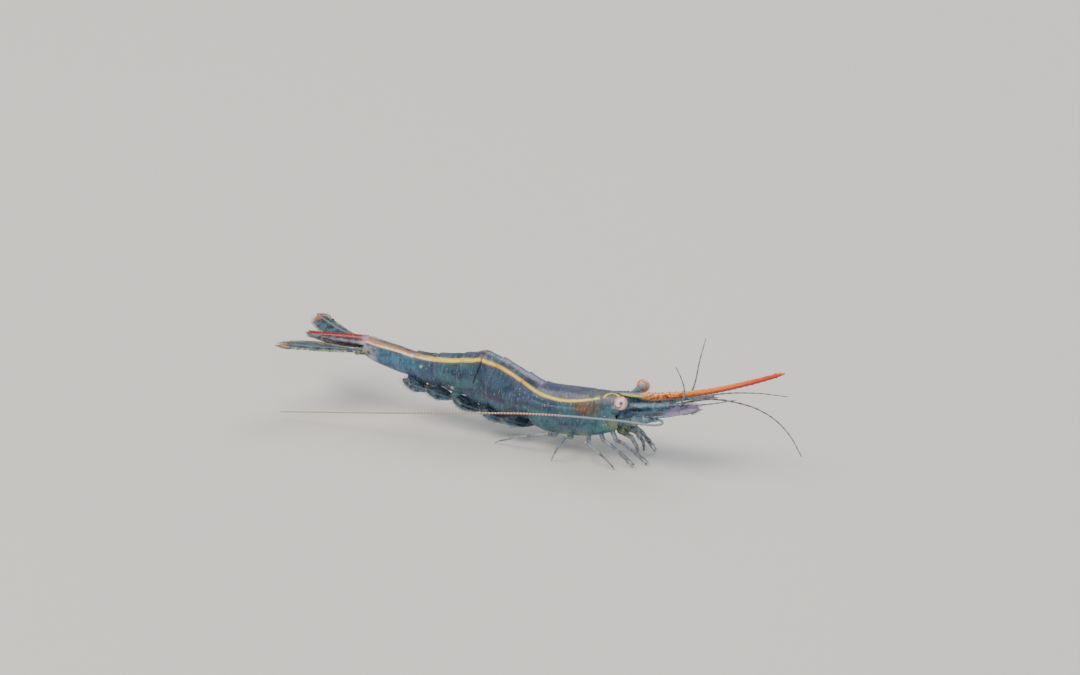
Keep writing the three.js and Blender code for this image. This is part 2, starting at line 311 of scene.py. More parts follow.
def sweep(
    path: Sequence[Vector], size: Size, *, across: Vector = Vector((0, 1, 0)), sides: int = 14
) -> Surface:
    """A bar with an oval section and domed ends along a path.

    Args:
        path: the points of its axis.
        size: half its width and half its height at a share of the path from 0 to 1.
        across: the direction of its width at the start.
        sides: how many sides it has.

    Returns:
        The surface, with the mark along, which is the share of the path.
    """
    rows: list[list[Vector]] = []
    shares: list[float] = []
    last = len(path) - 1
    ring = [(math.cos(a), math.sin(a)) for a in around(sides)]
    for i, p in enumerate(path):
        forward = (path[min(i + 1, last)] - path[max(i - 1, 0)]).normalized()
        side = (across - forward * across.dot(forward)).normalized()
        up = forward.cross(side)
        across = side
        share = i / last
        wide, high = size(share)
        layers = [(p, 1.0)]
        if i in (0, last):
            away = forward * (min(wide, high) * (1 if i else -1))
            dome = [(p + away * math.sqrt(1 - grown * grown), grown) for grown in DOME]
            layers = layers + dome[::-1] if i else dome + layers
        for centre, grown in layers:
            rows.append([centre + side * (wide * grown * c) + up * (high * grown * s) for c, s in ring])
            shares.append(share)
    made = skin(rows)
    made.marks["along"] = [s for s in shares for _ in ring] + [0.0, 1.0]
    return made


def ball(centre: Vector, radii: Spot, axis: Vector, rings: int = 20) -> Surface:
    """An ellipsoid with its poles on an axis.

    Args:
        centre: its middle.
        radii: its half lengths, the last of them along the axis.
        axis: the way to its second pole.
        rings: how many rows of faces it has.

    Returns:
        The surface, with the mark along from one pole to the other.
    """
    form = axis.to_track_quat("Z", "Y").to_matrix() @ Matrix.Diagonal(radii)
    rows = []
    for i in range(1, rings):
        flat, down = math.sin(math.pi * i / rings), math.cos(math.pi * i / rings)
        ways = (Vector((flat * math.cos(b), flat * math.sin(b), -down)) for b in around(rings * 2))
        rows.append([centre + form @ way for way in ways])
    made = skin(rows)
    made.points[-2:] = [centre - form.col[2], centre + form.col[2]]
    made.marks["along"] = [i / rings for i in range(1, rings) for _ in range(rings * 2)] + [0.0, 1.0]
    return made


TAPER = ((0.0, 1.0), (0.45, 0.72), (0.8, 0.36))  # the thickness of a spine at shares of its length


def spine(root: Vector, tip: Vector, radius: float, bend: Vector = Vector(), sides: int = 5) -> Surface:
    """A pointed spine or hair.

    Args:
        root: where it grows from.
        tip: its point.
        radius: half its thickness at the root.
        bend: how far its middle stands off the straight line.
        sides: how many sides it has.

    Returns:
        The surface, with the mark along from root to tip.
    """
    forward = (tip - root).normalized()
    side = forward.orthogonal().normalized()
    up = forward.cross(side)
    ring = [side * math.cos(a) + up * math.sin(a) for a in around(sides)]
    rows = []
    for share, girth in TAPER:
        centre = root.lerp(tip, share) + bend * (4 * share * (1 - share))
        rows.append([centre + way * (radius * girth) for way in ring])
    made = skin(rows, capped=False)
    made.points.append(tip.copy())
    last = len(made.points) - 1
    made.faces.extend((last, 2 * sides + j, 2 * sides + (j + 1) % sides) for j in range(sides))
    made.faces.append(tuple(range(sides)))
    made.marks["along"] = [share for share, _ in TAPER for _ in range(sides)] + [1.0]
    return made


def distance(points: np.ndarray, line: np.ndarray) -> np.ndarray:
    """How far each point is from a line of straight stretches.

    Args:
        points: n by 3.
        line: its corners, m by 3.

    Returns:
        n distances.
    """
    best = np.full(len(points), np.inf)
    for a, b in zip(line, line[1:]):
        run = b - a
        share = np.clip((points - a) @ run / max(run @ run, 1e-12), 0, 1)
        best = np.minimum(best, np.linalg.norm(points - a - share[:, None] * run, axis=1))
    return best


# ---- Materials ----


class Recipe:
    """A material in the making: one principled shader, the nodes that feed it and the colour laid so far."""

    def __init__(self, name: str) -> None:
        """Starts a material.

        Args:
            name: its name.
        """
        self.material = bpy.data.materials.new(name)
        self.material.use_nodes = True
        self.tree = self.material.node_tree
        self.shader = self.tree.nodes["Principled BSDF"]
        here = self.node("TexCoord", {}).outputs["Object"]
        shift = (-EYES.x / MM, -EYES.y / MM, 0)
        place = {"Vector": here, "Location": shift, "Scale": (1 / MM, 1 / MM, 1 / MM)}
        self.position = self.node("Mapping", place).outputs[0]
        self.colour: Socket | str = "000000"

    def node(self, kind: str, inputs: dict[int | str, object], **settings: object) -> bpy.types.Node:
        """Adds a node.

        Args:
            kind: its type, without the ShaderNode in front.
            inputs: a value or a socket for each input that isn't left at its default.
            **settings: the node's own settings.

        Returns:
            The node.
        """
        made = self.tree.nodes.new("ShaderNode" + kind)
        for key, value in settings.items():
            setattr(made, key, value)
        for key, value in inputs.items():
            if isinstance(value, Socket):
                self.tree.links.new(value, made.inputs[key])
            else:
                made.inputs[key].default_value = value
        return made

    def axes(self) -> tuple[Socket, ...]:
        """The position's x, y and z, in millimetres in the animal's frame."""
        return tuple(self.node("SeparateXYZ", {0: self.position}).outputs)

    def stretch(self, x: float, y: float, z: float) -> Socket:
        """The position with each axis scaled, to draw a pattern out."""
        return self.node("Mapping", {"Vector": self.position, "Scale": (x, y, z)}).outputs[0]

    def mark(self, name: str) -> Socket:
        """A mark painted on the mesh."""
        return self.node("Attribute", {}, attribute_name=name).outputs["Fac"]

    def math(self, how: str, a: Socket | float, b: Socket | float = 0.0) -> Socket:
        """One arithmetic step, such as MULTIPLY."""
        return self.node("Math", {0: a, 1: b}, operation=how).outputs[0]

    def noise(self, scale: float, detail: float = 3, at: Socket | None = None) -> Socket:
        """Cloudy noise with scale waves in a millimetre."""
        wanted = {"Vector": at or self.position, "Scale": scale, "Detail": detail}
        return self.node("TexNoise", wanted).outputs[0]

    def cells(self, scale: float, at: Socket | None = None) -> bpy.types.Node:
        """Scattered cells, scale of them in a millimetre."""
        return self.node("TexVoronoi", {"Vector": at or self.position, "Scale": scale})

    def fade(self, value: Socket, zero: float, one: float) -> Socket:
        """A smooth rise of value from 0 where it is zero to 1 where it is one."""
        ends = {"Value": value, "From Min": zero, "From Max": one}
        return self.node("MapRange", ends, interpolation_type="SMOOTHSTEP").outputs[0]

    def wave(self, value: Socket, rate: float) -> Socket:
        """The sine of rate times a value."""
        return self.math("SINE", self.math("MULTIPLY", value, rate))

    def both(self, *shares: Share) -> Socket:
        """The product of shares.

        Args:
            *shares: sockets, numbers, or fades as tuples of a value, where it is 0 and where it is 1.

        Returns:
            Their product.
        """
        made, *others = (self.fade(*share) if isinstance(share, tuple) else share for share in shares)
        for other in others:
            made = self.math("MULTIPLY", made, other)
        return made

    def ragged(self, scale: float, detail: float, depth: float) -> Socket:
        """Noise around 0, from -depth / 2 to depth / 2."""
        return self.math("MULTIPLY", self.math("SUBTRACT", self.noise(scale, detail), 0.5), depth)

    def ramp(self, value: Socket, stops: Sequence[tuple[float, str]]) -> Socket:
        """Colours along a value.

        Args:
            value: a value from 0 to 1.
            stops: pairs of place and colour code.

        Returns:
            The colour.
        """
        made = self.node("ValToRGB", {0: value})
        places = made.color_ramp.elements
        while len(places) < len(stops):
            places.new(0.5)
        for place, (at, code) in zip(places, stops):
            place.position = at
            place.color = tint(code)
        return made.outputs[0]

    def blend(self, share: Socket | float, under: Socket | str, over: Socket | str) -> Socket:
        """A colour over another, as sockets or colour codes."""
        a, b = (tint(c) if isinstance(c, str) else c for c in (under, over))
        return self.node("Mix", {0: share, 6: a, 7: b}, data_type="RGBA").outputs[2]

    def lay(self, colour: Socket | str, *shares: Share) -> None:
        """Lays a colour over what is there, as far as the product of the shares."""
        self.colour = self.blend(self.both(*shares), self.colour, colour)

    def cloud(self, dark: str, light: str, scale: float, low: float, high: float) -> Socket:
        """Starts the colour with two pigments that cloud into each other.

        Args:
            dark: the colour code of the first pigment.
            light: that of the second.
            scale: waves in a millimetre.
            low: the noise up to which the first is pure.
            high: the noise from which the second is pure.

        Returns:
            The share of the second pigment.
        """
        share = self.fade(self.noise(scale, 4), low, high)
        self.colour = self.blend(share, dark, light)
        return share

    def dots(self, scale: float, size: float, share: float) -> Socket:
        """Scattered round dots.

        Args:
            scale: cells in a millimetre.
            size: a dot's radius as a share of its cell.
            share: how many of the cells hold a dot.

        Returns:
            1 in a dot and 0 outside it.
        """
        cells = self.cells(scale)
        inside = self.fade(cells.outputs["Distance"], size, size * 0.6)
        pick = self.node("SeparateColor", {0: cells.outputs["Color"]}).outputs[0]
        return self.both(inside, self.math("LESS_THAN", pick, share))

    def speckle(self, *kinds: tuple[float, float, float, float, str]) -> None:
        """Lays dots of several kinds: cells in a millimetre, radius, how many, strength and colour of each."""
        for scale, size, share, strength, code in kinds:
            self.lay(code, self.dots(scale, size, share), strength)

    def patch(self, centre: Spot, radii: Spot, ragged: float) -> Socket:
        """A soft blotch on both sides of the body.

        Args:
            centre: its middle, with y as the distance from the middle line.
            radii: its half lengths.
            ragged: how much noise breaks its edge.

        Returns:
            1 in its middle, falling to 0 at its edge.
        """
        x, y, z = self.axes()
        spot = self.node("CombineXYZ", {0: x, 1: self.math("ABSOLUTE", y), 2: z}).outputs[0]
        shifted = self.node("VectorMath", {0: spot, 1: centre}, operation="SUBTRACT").outputs[0]
        scaled = self.node("VectorMath", {0: shifted, 1: radii}, operation="DIVIDE").outputs[0]
        away = self.node("VectorMath", {0: scaled}, operation="LENGTH").outputs["Value"]
        return self.fade(self.math("ADD", away, self.ragged(1.6, 5, ragged)), 1.0, 0.35)


@dataclass(frozen=True)
class Finish:
    """A surface's gloss and depth. Each kind of finish adds its colours and its relief."""

    name: str
    roughness: float = 0.35
    coat: float = 0.4
    coat_roughness: float = 0.1
    transmission: float = 0.0
    scatter: float = 0.0
    scatter_reach: float = 0.3
    relief_depth: float = 0.01

    def paint(self, recipe: Recipe) -> None:
        """Lays the finish's colours."""
        raise NotImplementedError

    def relief(self, recipe: Recipe) -> Socket:
        """The height of its fine relief, from 0 to 1."""
        return recipe.noise(9, 4)

    def wear(self, recipe: Recipe) -> Socket:
        """Its roughness, which varies a little around the finish's own.

        Args:
            recipe: the material that it belongs to.

        Returns:
            The roughness.
        """
        share = recipe.fade(recipe.noise(3.5, 3), 0.3, 0.7)
        low, high = self.roughness * 0.75, min(self.roughness * 1.3, 1)
        return recipe.node("MapRange", {0: share, 3: low, 4: high}).outputs[0]

    def material(self) -> bpy.types.Material:
        """Makes the material, once for each finish.

        Returns:
            The material.
        """
        known = bpy.data.materials.get(self.name)
        if known:
            return known
        recipe = Recipe(self.name)
        self.paint(recipe)
        bump_map = {"Height": self.relief(recipe), "Distance": self.relief_depth * MM, "Strength": 1.0}
        feeds = {
            "Base Color": recipe.colour,
            "Roughness": self.wear(recipe),
            "Normal": recipe.node("Bump", bump_map).outputs[0],
        }
        for socket, source in feeds.items():
            recipe.tree.links.new(source, recipe.shader.inputs[socket])
        numbers = {
            "IOR": 1.4,
            "Coat Weight": self.coat,
            "Coat Roughness": self.coat_roughness,
            "Transmission Weight": self.transmission,
            "Subsurface Weight": self.scatter,
            "Subsurface Radius": (0.6, 0.9, 1.0),
            "Subsurface Scale": self.scatter_reach * MM,
        }
        for socket, value in numbers.items():
            recipe.shader.inputs[socket].default_value = value
        return recipe.material


@dataclass(frozen=True)
class ShellFinish(Finish):
    """The clear dark shell with its pigment, its golden lines and its speckles."""

    deep: str = "2c3f55"
    teal: str = "406673"
    violet: str = "57527a"
    gold: str = "dcbf2c"
    amber: str = "d8a04a"
    cream: str = "fdf284"
    rust: str = "7d531c"
    # Where each region's x starts and is full, where its z does, how strong it is, and its colour.
    regions: tuple[tuple[Pair, Pair | None, float, str], ...] = (
        ((-16.0, -18.5), (3.4, 3.9), 0.75, "4a86a2"),
        ((-14.5, -18.5), (4.15, 3.6), 0.7, "6c5f8c"),
        ((-3.2, -1.2), (4.4, 3.6), 0.6, "4f9aa2"),
        ((-8.0, -6.4), (3.4, 2.2), 0.65, "4b8486"),
        # A painted highlight: a pale band at the rear of the last ring, where the tail fan joins.
        ((-20.3, -21.2), None, 0.9, "b9b2c0"),
        ((-6.6, -4.0), (2.4, 1.5), 0.7, "93a184"),
    )
    # The middle, the half lengths, the raggedness, the strength and the colour of each blotch: two pale spots
    # first, and then the stomach, its core and the jaws, which show through the shell.
    spots: tuple[Blotch, ...] = (
        ((-16.93, 1.0, 4.45), (0.2, 0.4, 0.2), 0.5, 0.8, "d9d6c2"),
        ((-14.24, 1.2, 3.29), (0.2, 0.4, 0.2), 0.5, 0.8, "d9d6c2"),
    )
    organs: tuple[Blotch, ...] = (
        ((-3.1, 1.35, 3.75), (1.7, 1.1, 0.95), 0.8, 0.7, "675730"),
        ((-3.3, 1.4, 3.8), (0.85, 1.0, 0.45), 1.0, 0.45, "9a5e2a"),
        ((-0.9, 1.1, 2.8), (1.1, 0.8, 0.9), 0.7, 0.6, "8f935c"),
    )
    # The cheek's bright cyan dots are painted glints, standing in for light caught on the shell.
    cheek_glints: tuple[Spot, Spot, float] = ((-1.7, 1.35, 3.1), (0.9, 0.8, 0.8), 0.4)  # where the cheek has bright dots
    crest: Blotch = ((-12.05, 0.0, 6.27), (0.2, 0.4, 0.2), 0.6, 0.8, "c08a3c")  # the spot on top of the hump

    def paint(self, recipe: Recipe) -> None:
        """Lays dark teal pigment, clouded and speckled, under the golden line and the dark marks.

        Args:
            recipe: the material that it goes to.
        """
        self.ground(recipe)
        self.blotches(recipe, self.organs)
        fibre = recipe.noise(2.2, 2, recipe.stretch(2.6, 0.4, 0.9))
        recipe.lay("83a3b4", (fibre, 0.5, 0.75), 0.3)
        shade = recipe.noise(1.5, 3, recipe.stretch(2.2, 0.6, 0.8))
        recipe.lay("1c2c40", (shade, 0.54, 0.7), 0.4)
        recipe.speckle(
            (7.5, 0.26, 0.5, 0.6, "16202e"),
            (6.5, 0.2, 0.3, 0.55, "a9a5c4"),
            (4.6, 0.17, 0.3, 0.8, "c4d2cc"),
            (2.9, 0.12, 0.45, 0.85, "efd98a"),
        )
        # Painted glints: bright cyan dots on the cheek.
        recipe.lay("7fdde0", recipe.patch(*self.cheek_glints), recipe.dots(4.4, 0.26, 0.6))
        self.lines(recipe)
        self.blotches(recipe, [self.crest])

    def blotches(self, recipe: Recipe, kinds: Iterable[Blotch]) -> None:
        """Lays blotches: the middle, half lengths, raggedness, strength and colour of each."""
        for centre, radii, ragged, strength, code in kinds:
            recipe.lay(code, recipe.patch(centre, radii, ragged), strength)

    def ground(self, recipe: Recipe) -> None:
        """Lays the pigment of each region, clouded into its neighbours; the pale band at the tail's root is a
        painted highlight.

        Args:
            recipe: the material that it goes to.
        """
        x, _, z = recipe.axes()
        cloud = recipe.noise(0.9, 5, recipe.stretch(0.7, 1, 1.3))
        recipe.colour = recipe.blend(recipe.fade(cloud, 0.36, 0.64), self.deep, self.teal)
        recipe.lay("4b5077", (recipe.noise(0.55, 3), 0.46, 0.62), 0.5)
        for along, height, strength, code in self.regions:
            level = (z, *height) if height else 1.0
            recipe.lay(code, (x, *along), level, (recipe.noise(1.4, 4), 0.3, 0.6), strength)
        self.blotches(recipe, self.spots)
        recipe.lay(self.violet, (recipe.mark("over"), 0.9, 2.2), (recipe.noise(1.3, 4), 0.36, 0.58), 0.75)
        recipe.lay("74805c", (z, 4.5, 4.72), (x, -8.0, -6.0), (cloud, 0.35, 0.6), 0.5)

    def lines(self, recipe: Recipe) -> None:
        """Lays the flank's red line, a painted highlight along the plates' edges, the golden line and the dark
        bar on the hump.

        Args:
            recipe: the material that they go to.
        """
        x = recipe.axes()[0]
        recipe.lay("452a42", (recipe.mark("flank"), 0.26, 0.06), (recipe.noise(1.6, 4), 0.32, 0.52), 0.6)
        # Painted highlight: pale blue-grey along the edges of each plate, where light catches the rims.
        recipe.lay("8ea6ac", (recipe.mark("rim"), 0.1, 0.02), 0.2)
        wobble = recipe.ragged(3.2, 3, 0.7)
        signed = recipe.math("ADD", recipe.mark("over"), wobble)
        away = recipe.math("ADD", recipe.mark("gold"), recipe.both(wobble, 0.4))
        tail = recipe.fade(x, -14.5, -18.0)
        recipe.lay(self.rust, (away, 1.7, 0.8), 0.75)
        rear = recipe.blend(recipe.fade(signed, -0.4, 0.1), "efe2c4", "ae7444")
        waist = recipe.both((x, -13.0, -11.5), (x, -6.5, -8.0), 0.8)
        front = recipe.blend(waist, self.gold, self.amber)
        recipe.lay(recipe.blend(tail, front, rear), (away, 1.05, 0.75))
        recipe.lay(self.cream, (away, 0.55, 0.2), recipe.math("SUBTRACT", 1.0, tail), 0.9)
        recipe.lay("0b1018", (recipe.mark("bar"), 0.11, 0.04), 0.9)

    def relief(self, recipe: Recipe) -> Socket:
        """Fine pitting with a slow swell under it."""
        pits = recipe.cells(11).outputs["Distance"]
        return recipe.math("ADD", recipe.both(pits, 0.5), recipe.noise(2.0, 3))


@dataclass(frozen=True)
class RostrumFinish(Finish):
    """The red nose: beaded and pale at its root, orange along the middle and bright red at its tip."""

    stops: tuple[tuple[float, str], ...] = (
        (0.0, "465c6c"),
        (0.2, "4d5a70"),
        (0.235, "f0a060"),
        (0.33, "ffa540"),
        (0.45, "ff9c14"),
        (0.62, "ff7e06"),
        (0.8, "f65402"),
        (0.93, "e43400"),
        (0.985, "f65a08"),
        (1.0, "ffd07a"),
    )
    bead_rate: float = 7.4

    def paint(self, recipe: Recipe) -> None:
        """Lays colours along the nose, with dark red gaps between the beads, a purple lower edge darkened as
        painted shade on its downward side, and a painted orange highlight along its upper side.

        Args:
            recipe: the material that they go to.
        """
        reach, across = recipe.mark("reach"), recipe.mark("depth")
        recipe.colour = recipe.ramp(reach, self.stops)
        red = recipe.fade(reach, 0.215, 0.25)
        beads = self.beads(recipe)
        recipe.lay("8a1c12", (beads, 0.4, 0.7), (reach, 0.7, 0.35), red, 0.9)
        recipe.lay("ffe6c4", (beads, 0.3, 0.08), (reach, 0.75, 0.25), red, 0.65)
        # Purple-red lower edge, deepened as painted shade on the downward-facing side.
        recipe.lay("6a1a34", (across, 0.2, -0.45), (reach, 0.26, 0.42), 0.85)
        # Painted highlight: light orange along the upper side of the blade.
        recipe.lay("ffb45c", (across, 0.4, 0.85), (recipe.noise(4.5, 2), 0.4, 0.6), red, 0.5)
        line = ((reach, 0.09, 0.12), (reach, 0.24, 0.21), (across, 0.6, 0.4), (across, -0.1, 0.1))
        recipe.lay("cfd843", *line, 0.95)
        recipe.lay("a9a5c4", recipe.dots(5, 0.22, 0.35), (reach, 0.25, 0.2), 0.6)

    def beads(self, recipe: Recipe) -> Socket:
        """How far the point is from the middle of its bead."""
        return recipe.cells(self.bead_rate, recipe.stretch(0.8, 1, 1.25)).outputs["Distance"]

    def relief(self, recipe: Recipe) -> Socket:
        """Low beads, one to each cell of the colour."""
        beads = recipe.fade(self.beads(recipe), 0.7, 0.1)
        return recipe.math("ADD", beads, recipe.both(recipe.noise(8, 3), 0.4))


@dataclass(frozen=True)
class EyeFinish(Finish):
    """A faceted eye: peach, with white speckles painted as highlights on the facets, a dark blue pupil outside
    and a grey patch inside.
    """

    stops: tuple[tuple[float, str], ...] = (
        (0.0, "20265e"),
        (0.19, "3b3f80"),
        (0.26, "d5a9b8"),
        (0.36, "f7e4e2"),
        (0.5, "f2cfc2"),
        (0.68, "ecb092"),
        (0.88, "dd8a58"),
    )

    def paint(self, recipe: Recipe) -> None:
        """Lays rings of colour round the pupil, the dark curl, the inner patch, red-brown speckles and pale
        speckles painted as highlights.

        Args:
            recipe: the material that they go to.
        """
        outer = recipe.math("ADD", recipe.mark("pupil"), recipe.both(recipe.noise(3.5, 4), 0.16))
        recipe.colour = recipe.ramp(outer, self.stops)
        recipe.lay("7a2f22", (recipe.mark("curl"), 0.11, 0.05), 0.8)
        inner = recipe.math("ADD", recipe.mark("inner"), recipe.both(recipe.noise(4.5, 4), 0.14))
        recipe.lay("8f99a0", (inner, 0.55, 0.3), 0.85)
        # The pale speckles are painted highlights on the facets; the red-brown ones are pigment.
        recipe.speckle((7, 0.32, 0.55, 0.65, "fbeee2"), (9, 0.25, 0.3, 0.6, "7e3a28"))

    def relief(self, recipe: Recipe) -> Socket:
        """The facets."""
        return recipe.fade(recipe.cells(26).outputs["Distance"], 0.6, 0.0)


@dataclass(frozen=True)
class LimbFinish(Finish):
    """Clear grey-blue limbs, dotted, with pale yellow joints and dark rings beside them."""

    body: str = "aab8c0"
    dark: str = "6c7e8e"
    joint: str = "ded49c"

    def paint(self, recipe: Recipe) -> None:
        """Lays clouds and dots along the limb, and its joints.

        Args:
            recipe: the material that they go to.
        """
        recipe.cloud(self.dark, self.body, 1.8, 0.36, 0.64)
        recipe.lay("6d6288", (recipe.noise(1.1, 2), 0.48, 0.6), 0.35)
        recipe.speckle((7.5, 0.26, 0.45, 0.7, "2a3442"), (5.5, 0.2, 0.35, 0.8, "d5dcd6"))
        recipe.lay("3d4a5a", (recipe.mark("joint"), 0.5, 0.8), 0.4)
        recipe.lay(self.joint, (recipe.mark("joint"), 0.88, 0.99), 0.6)


@dataclass(frozen=True)
class FeelerFinish(Finish):
    """Banded feelers, ringed finely all the way, and clear as far as clear_until from their base."""

    light: str = "cfb8a2"
    dark: str = "a06a4e"
    rings: float = 4.0
    clear: str = "7b8d96"
    clear_until: float = 0.0

    def paint(self, recipe: Recipe) -> None:
        """Lays pale rings with rusty ones between them.

        Args:
            recipe: the material that they go to.
        """
        reach = recipe.mark("reach")
        wave = recipe.wave(reach, self.rings * 2 * math.pi)
        uneven = recipe.math("ADD", wave, recipe.both(recipe.noise(1.3, 3), 0.9))
        recipe.colour = recipe.blend(recipe.fade(uneven, 0.1, 0.9), self.light, self.dark)
        recipe.lay(self.clear, (reach, self.clear_until + 3, self.clear_until), 0.85)

    def relief(self, recipe: Recipe) -> Socket:
        """A fine thread of rings."""
        return recipe.wave(recipe.mark("reach"), 60.0)


@dataclass(frozen=True)
class BladeFinish(Finish):
    """A thin clear blade with a rib, a dotted outer margin and a coloured tip."""

    dark: str = "2b3540"
    body: str = "3a5560"
    rib: str = "8aa0a2"
    margin: str = "c8c489"
    tip: str = "c7763f"
    tip_share: float = 0.85
    streak: str = "3a5560"
    streak_share: float = 0.0
    # The pale root colour and its share lay a painted highlight where the blade joins the body.
    root: str = "b9a9b8"
    root_highlight_share: float = 0.0

    def paint(self, recipe: Recipe) -> None:
        """Lays the blade's cloud, its rays, its rib and streak, a painted highlight at its root, its margin, its
        dots and its tip.

        Args:
            recipe: the material that they go to.
        """
        along, cross = recipe.mark("along"), recipe.mark("cross")
        cloud = recipe.cloud(self.dark, self.body, 1.6, 0.35, 0.65)
        rays = recipe.noise(3.0, 2, recipe.stretch(0.5, 3.2, 1))
        recipe.lay(self.rib, (rays, 0.5, 0.7), 0.4)
        middle = recipe.math("ABSOLUTE", cross)
        recipe.lay(self.rib, (middle, 0.16, 0.05), 0.7)
        recipe.lay(self.streak, (middle, 0.46, 0.2), self.streak_share)
        # Painted highlight: a pale band at the blade's root.
        recipe.lay(self.root, (along, 0.16, 0.03), self.root_highlight_share)
        recipe.lay(self.margin, (cross, 0.5, 0.78), (recipe.noise(4.2, 2), 0.42, 0.56), 0.95)
        recipe.speckle((5.0, 0.26, 0.4, 0.7, "c9c6a4"), (6.0, 0.26, 0.4, 0.7, "1c2430"))
        recipe.lay(self.tip, (along, self.tip_share, self.tip_share + 0.14), (cloud, -0.2, 0.7), 0.85)


@dataclass(frozen=True)
class PlainFinish(Finish):
    """One pigment with a darker cloud in it and a few pale grains, for flesh, hairs and spines."""

    light: str = "8b9690"
    dark: str = "4a5558"

    def paint(self, recipe: Recipe) -> None:
        """Lays the cloud and the grains."""
        recipe.cloud(self.dark, self.light, 2.4, 0.35, 0.65)
        recipe.speckle((6, 0.2, 0.25, 0.5, "d8d3b8"))


WET = (0.32, 0.3, 0.2)  # the roughness, the coat and the coat's roughness of what is thin and clear
SHELL = ShellFinish("shell_clear_teal", 0.36, 0.25, 0.2, transmission=0.12, scatter=0.3, relief_depth=0.012)
FLESH = PlainFinish("flesh_dark", 0.5, 0.2, scatter=0.3, light="33454c", dark="1a242e")
NOSE = RostrumFinish("rostrum_red", 0.32, 0.5, 0.1, scatter=0.25, relief_depth=0.02)
EYE = EyeFinish("eye_faceted_peach", 0.22, 0.7, 0.05, scatter=0.2, relief_depth=0.006)
EYESTALK = LimbFinish("eyestalk_pale", *WET, transmission=0.35, body="a9b4b8", dark="748894", joint="93b0a8")
STALK = LimbFinish("feeler_base_clear", *WET, transmission=0.3, body="6f97a6", dark="3d5e72", joint="93b0a8")
LIMB = LimbFinish("limb_clear_grey", *WET, transmission=0.4, scatter=0.2)
MOUTH = PlainFinish("mouth_olive", 0.38, 0.45, scatter=0.3, light="7f8468", dark="3c4a4a")
FEELER = FeelerFinish("feeler_banded", 0.4, 0.3, relief_depth=0.004, clear_until=8.0)
WHIP = FeelerFinish("feeler_grey", 0.4, 0.3, relief_depth=0.004, light="8b8684", dark="57505a", rings=1.6)
SCALE = BladeFinish(
    "scale_clear_blue", *WET, transmission=0.45, body="54789a", margin="7296ac", tip="8d79a2", rib="6c87a0",
    tip_share=0.5,
)
OUTER = BladeFinish("tail_outer", *WET, transmission=0.35, body="4d7288", tip="e08a4c", tip_share=0.84)
INNER = BladeFinish(
    "tail_inner", *WET, transmission=0.4, dark="5c6474", body="94949c", margin="c9906c", rib="b87c60",
    tip="d8844e", tip_share=0.78, streak="a85a4a", streak_share=0.55,
)
# The telson's pale root is a painted highlight.
TELSON = BladeFinish(
    "tail_middle", 0.3, 0.3, 0.2, transmission=0.25, body="6c7c90", margin="7d6c90", rib="b22c36",
    tip="b86a4a", tip_share=0.92, streak="a81c2a", streak_share=0.95, root_highlight_share=0.85,
)
PADDLE = BladeFinish(
    "swimming_leg_clear", 0.3, 0.3, 0.2, transmission=0.5, body="58748a", margin="71899a", rib="8aa0ae",
    tip="627a8e", tip_share=0.9,
)
BRISTLE = PlainFinish("bristle_pale", 0.45, 0.2, transmission=0.3, light="a8a89a", dark="6d7272")


# ---- The body's form and markings ----


@dataclass(frozen=True)
class Joint:
    """The line between two plates: x at mid height, lean of its upper end, and its backward bow at the side."""

    at: float
    lean: float
    bow: float

    def x(self, height: float) -> float:
        """x where the line is a share of the body's height from the lower edge to the back."""
        return self.at + self.lean * (height - 0.5) * 4 - self.bow * math.sin(math.pi * height)


JOINTS = (
    Joint(-7.15, 0.06, 0.5),
    Joint(-8.75, 0.16, 0.25),
    Joint(-10.85, 0.16, 0.3),
    Joint(-13.45, -0.06, 0.3),
    Joint(-15.4, -0.14, 0.25),
    Joint(-17.35, -0.1, 0.2),
    Joint(-21.6, 0.08, 0.1),
)


@dataclass(frozen=True)
class Hem:
    """The rounded lower edge of a ring: its height in front and behind, and how far its lobe hangs below."""

    front: float
    rear: float
    lobe: float
    corner: float = 0.28

    def __call__(self, share: float) -> float:
        """The height at a share of the ring's length."""
        hang = self.lobe * math.sin(math.pi * share)
        return mix(self.front, self.rear, share) - hang + self.corner * abs(2 * share - 1) ** 5


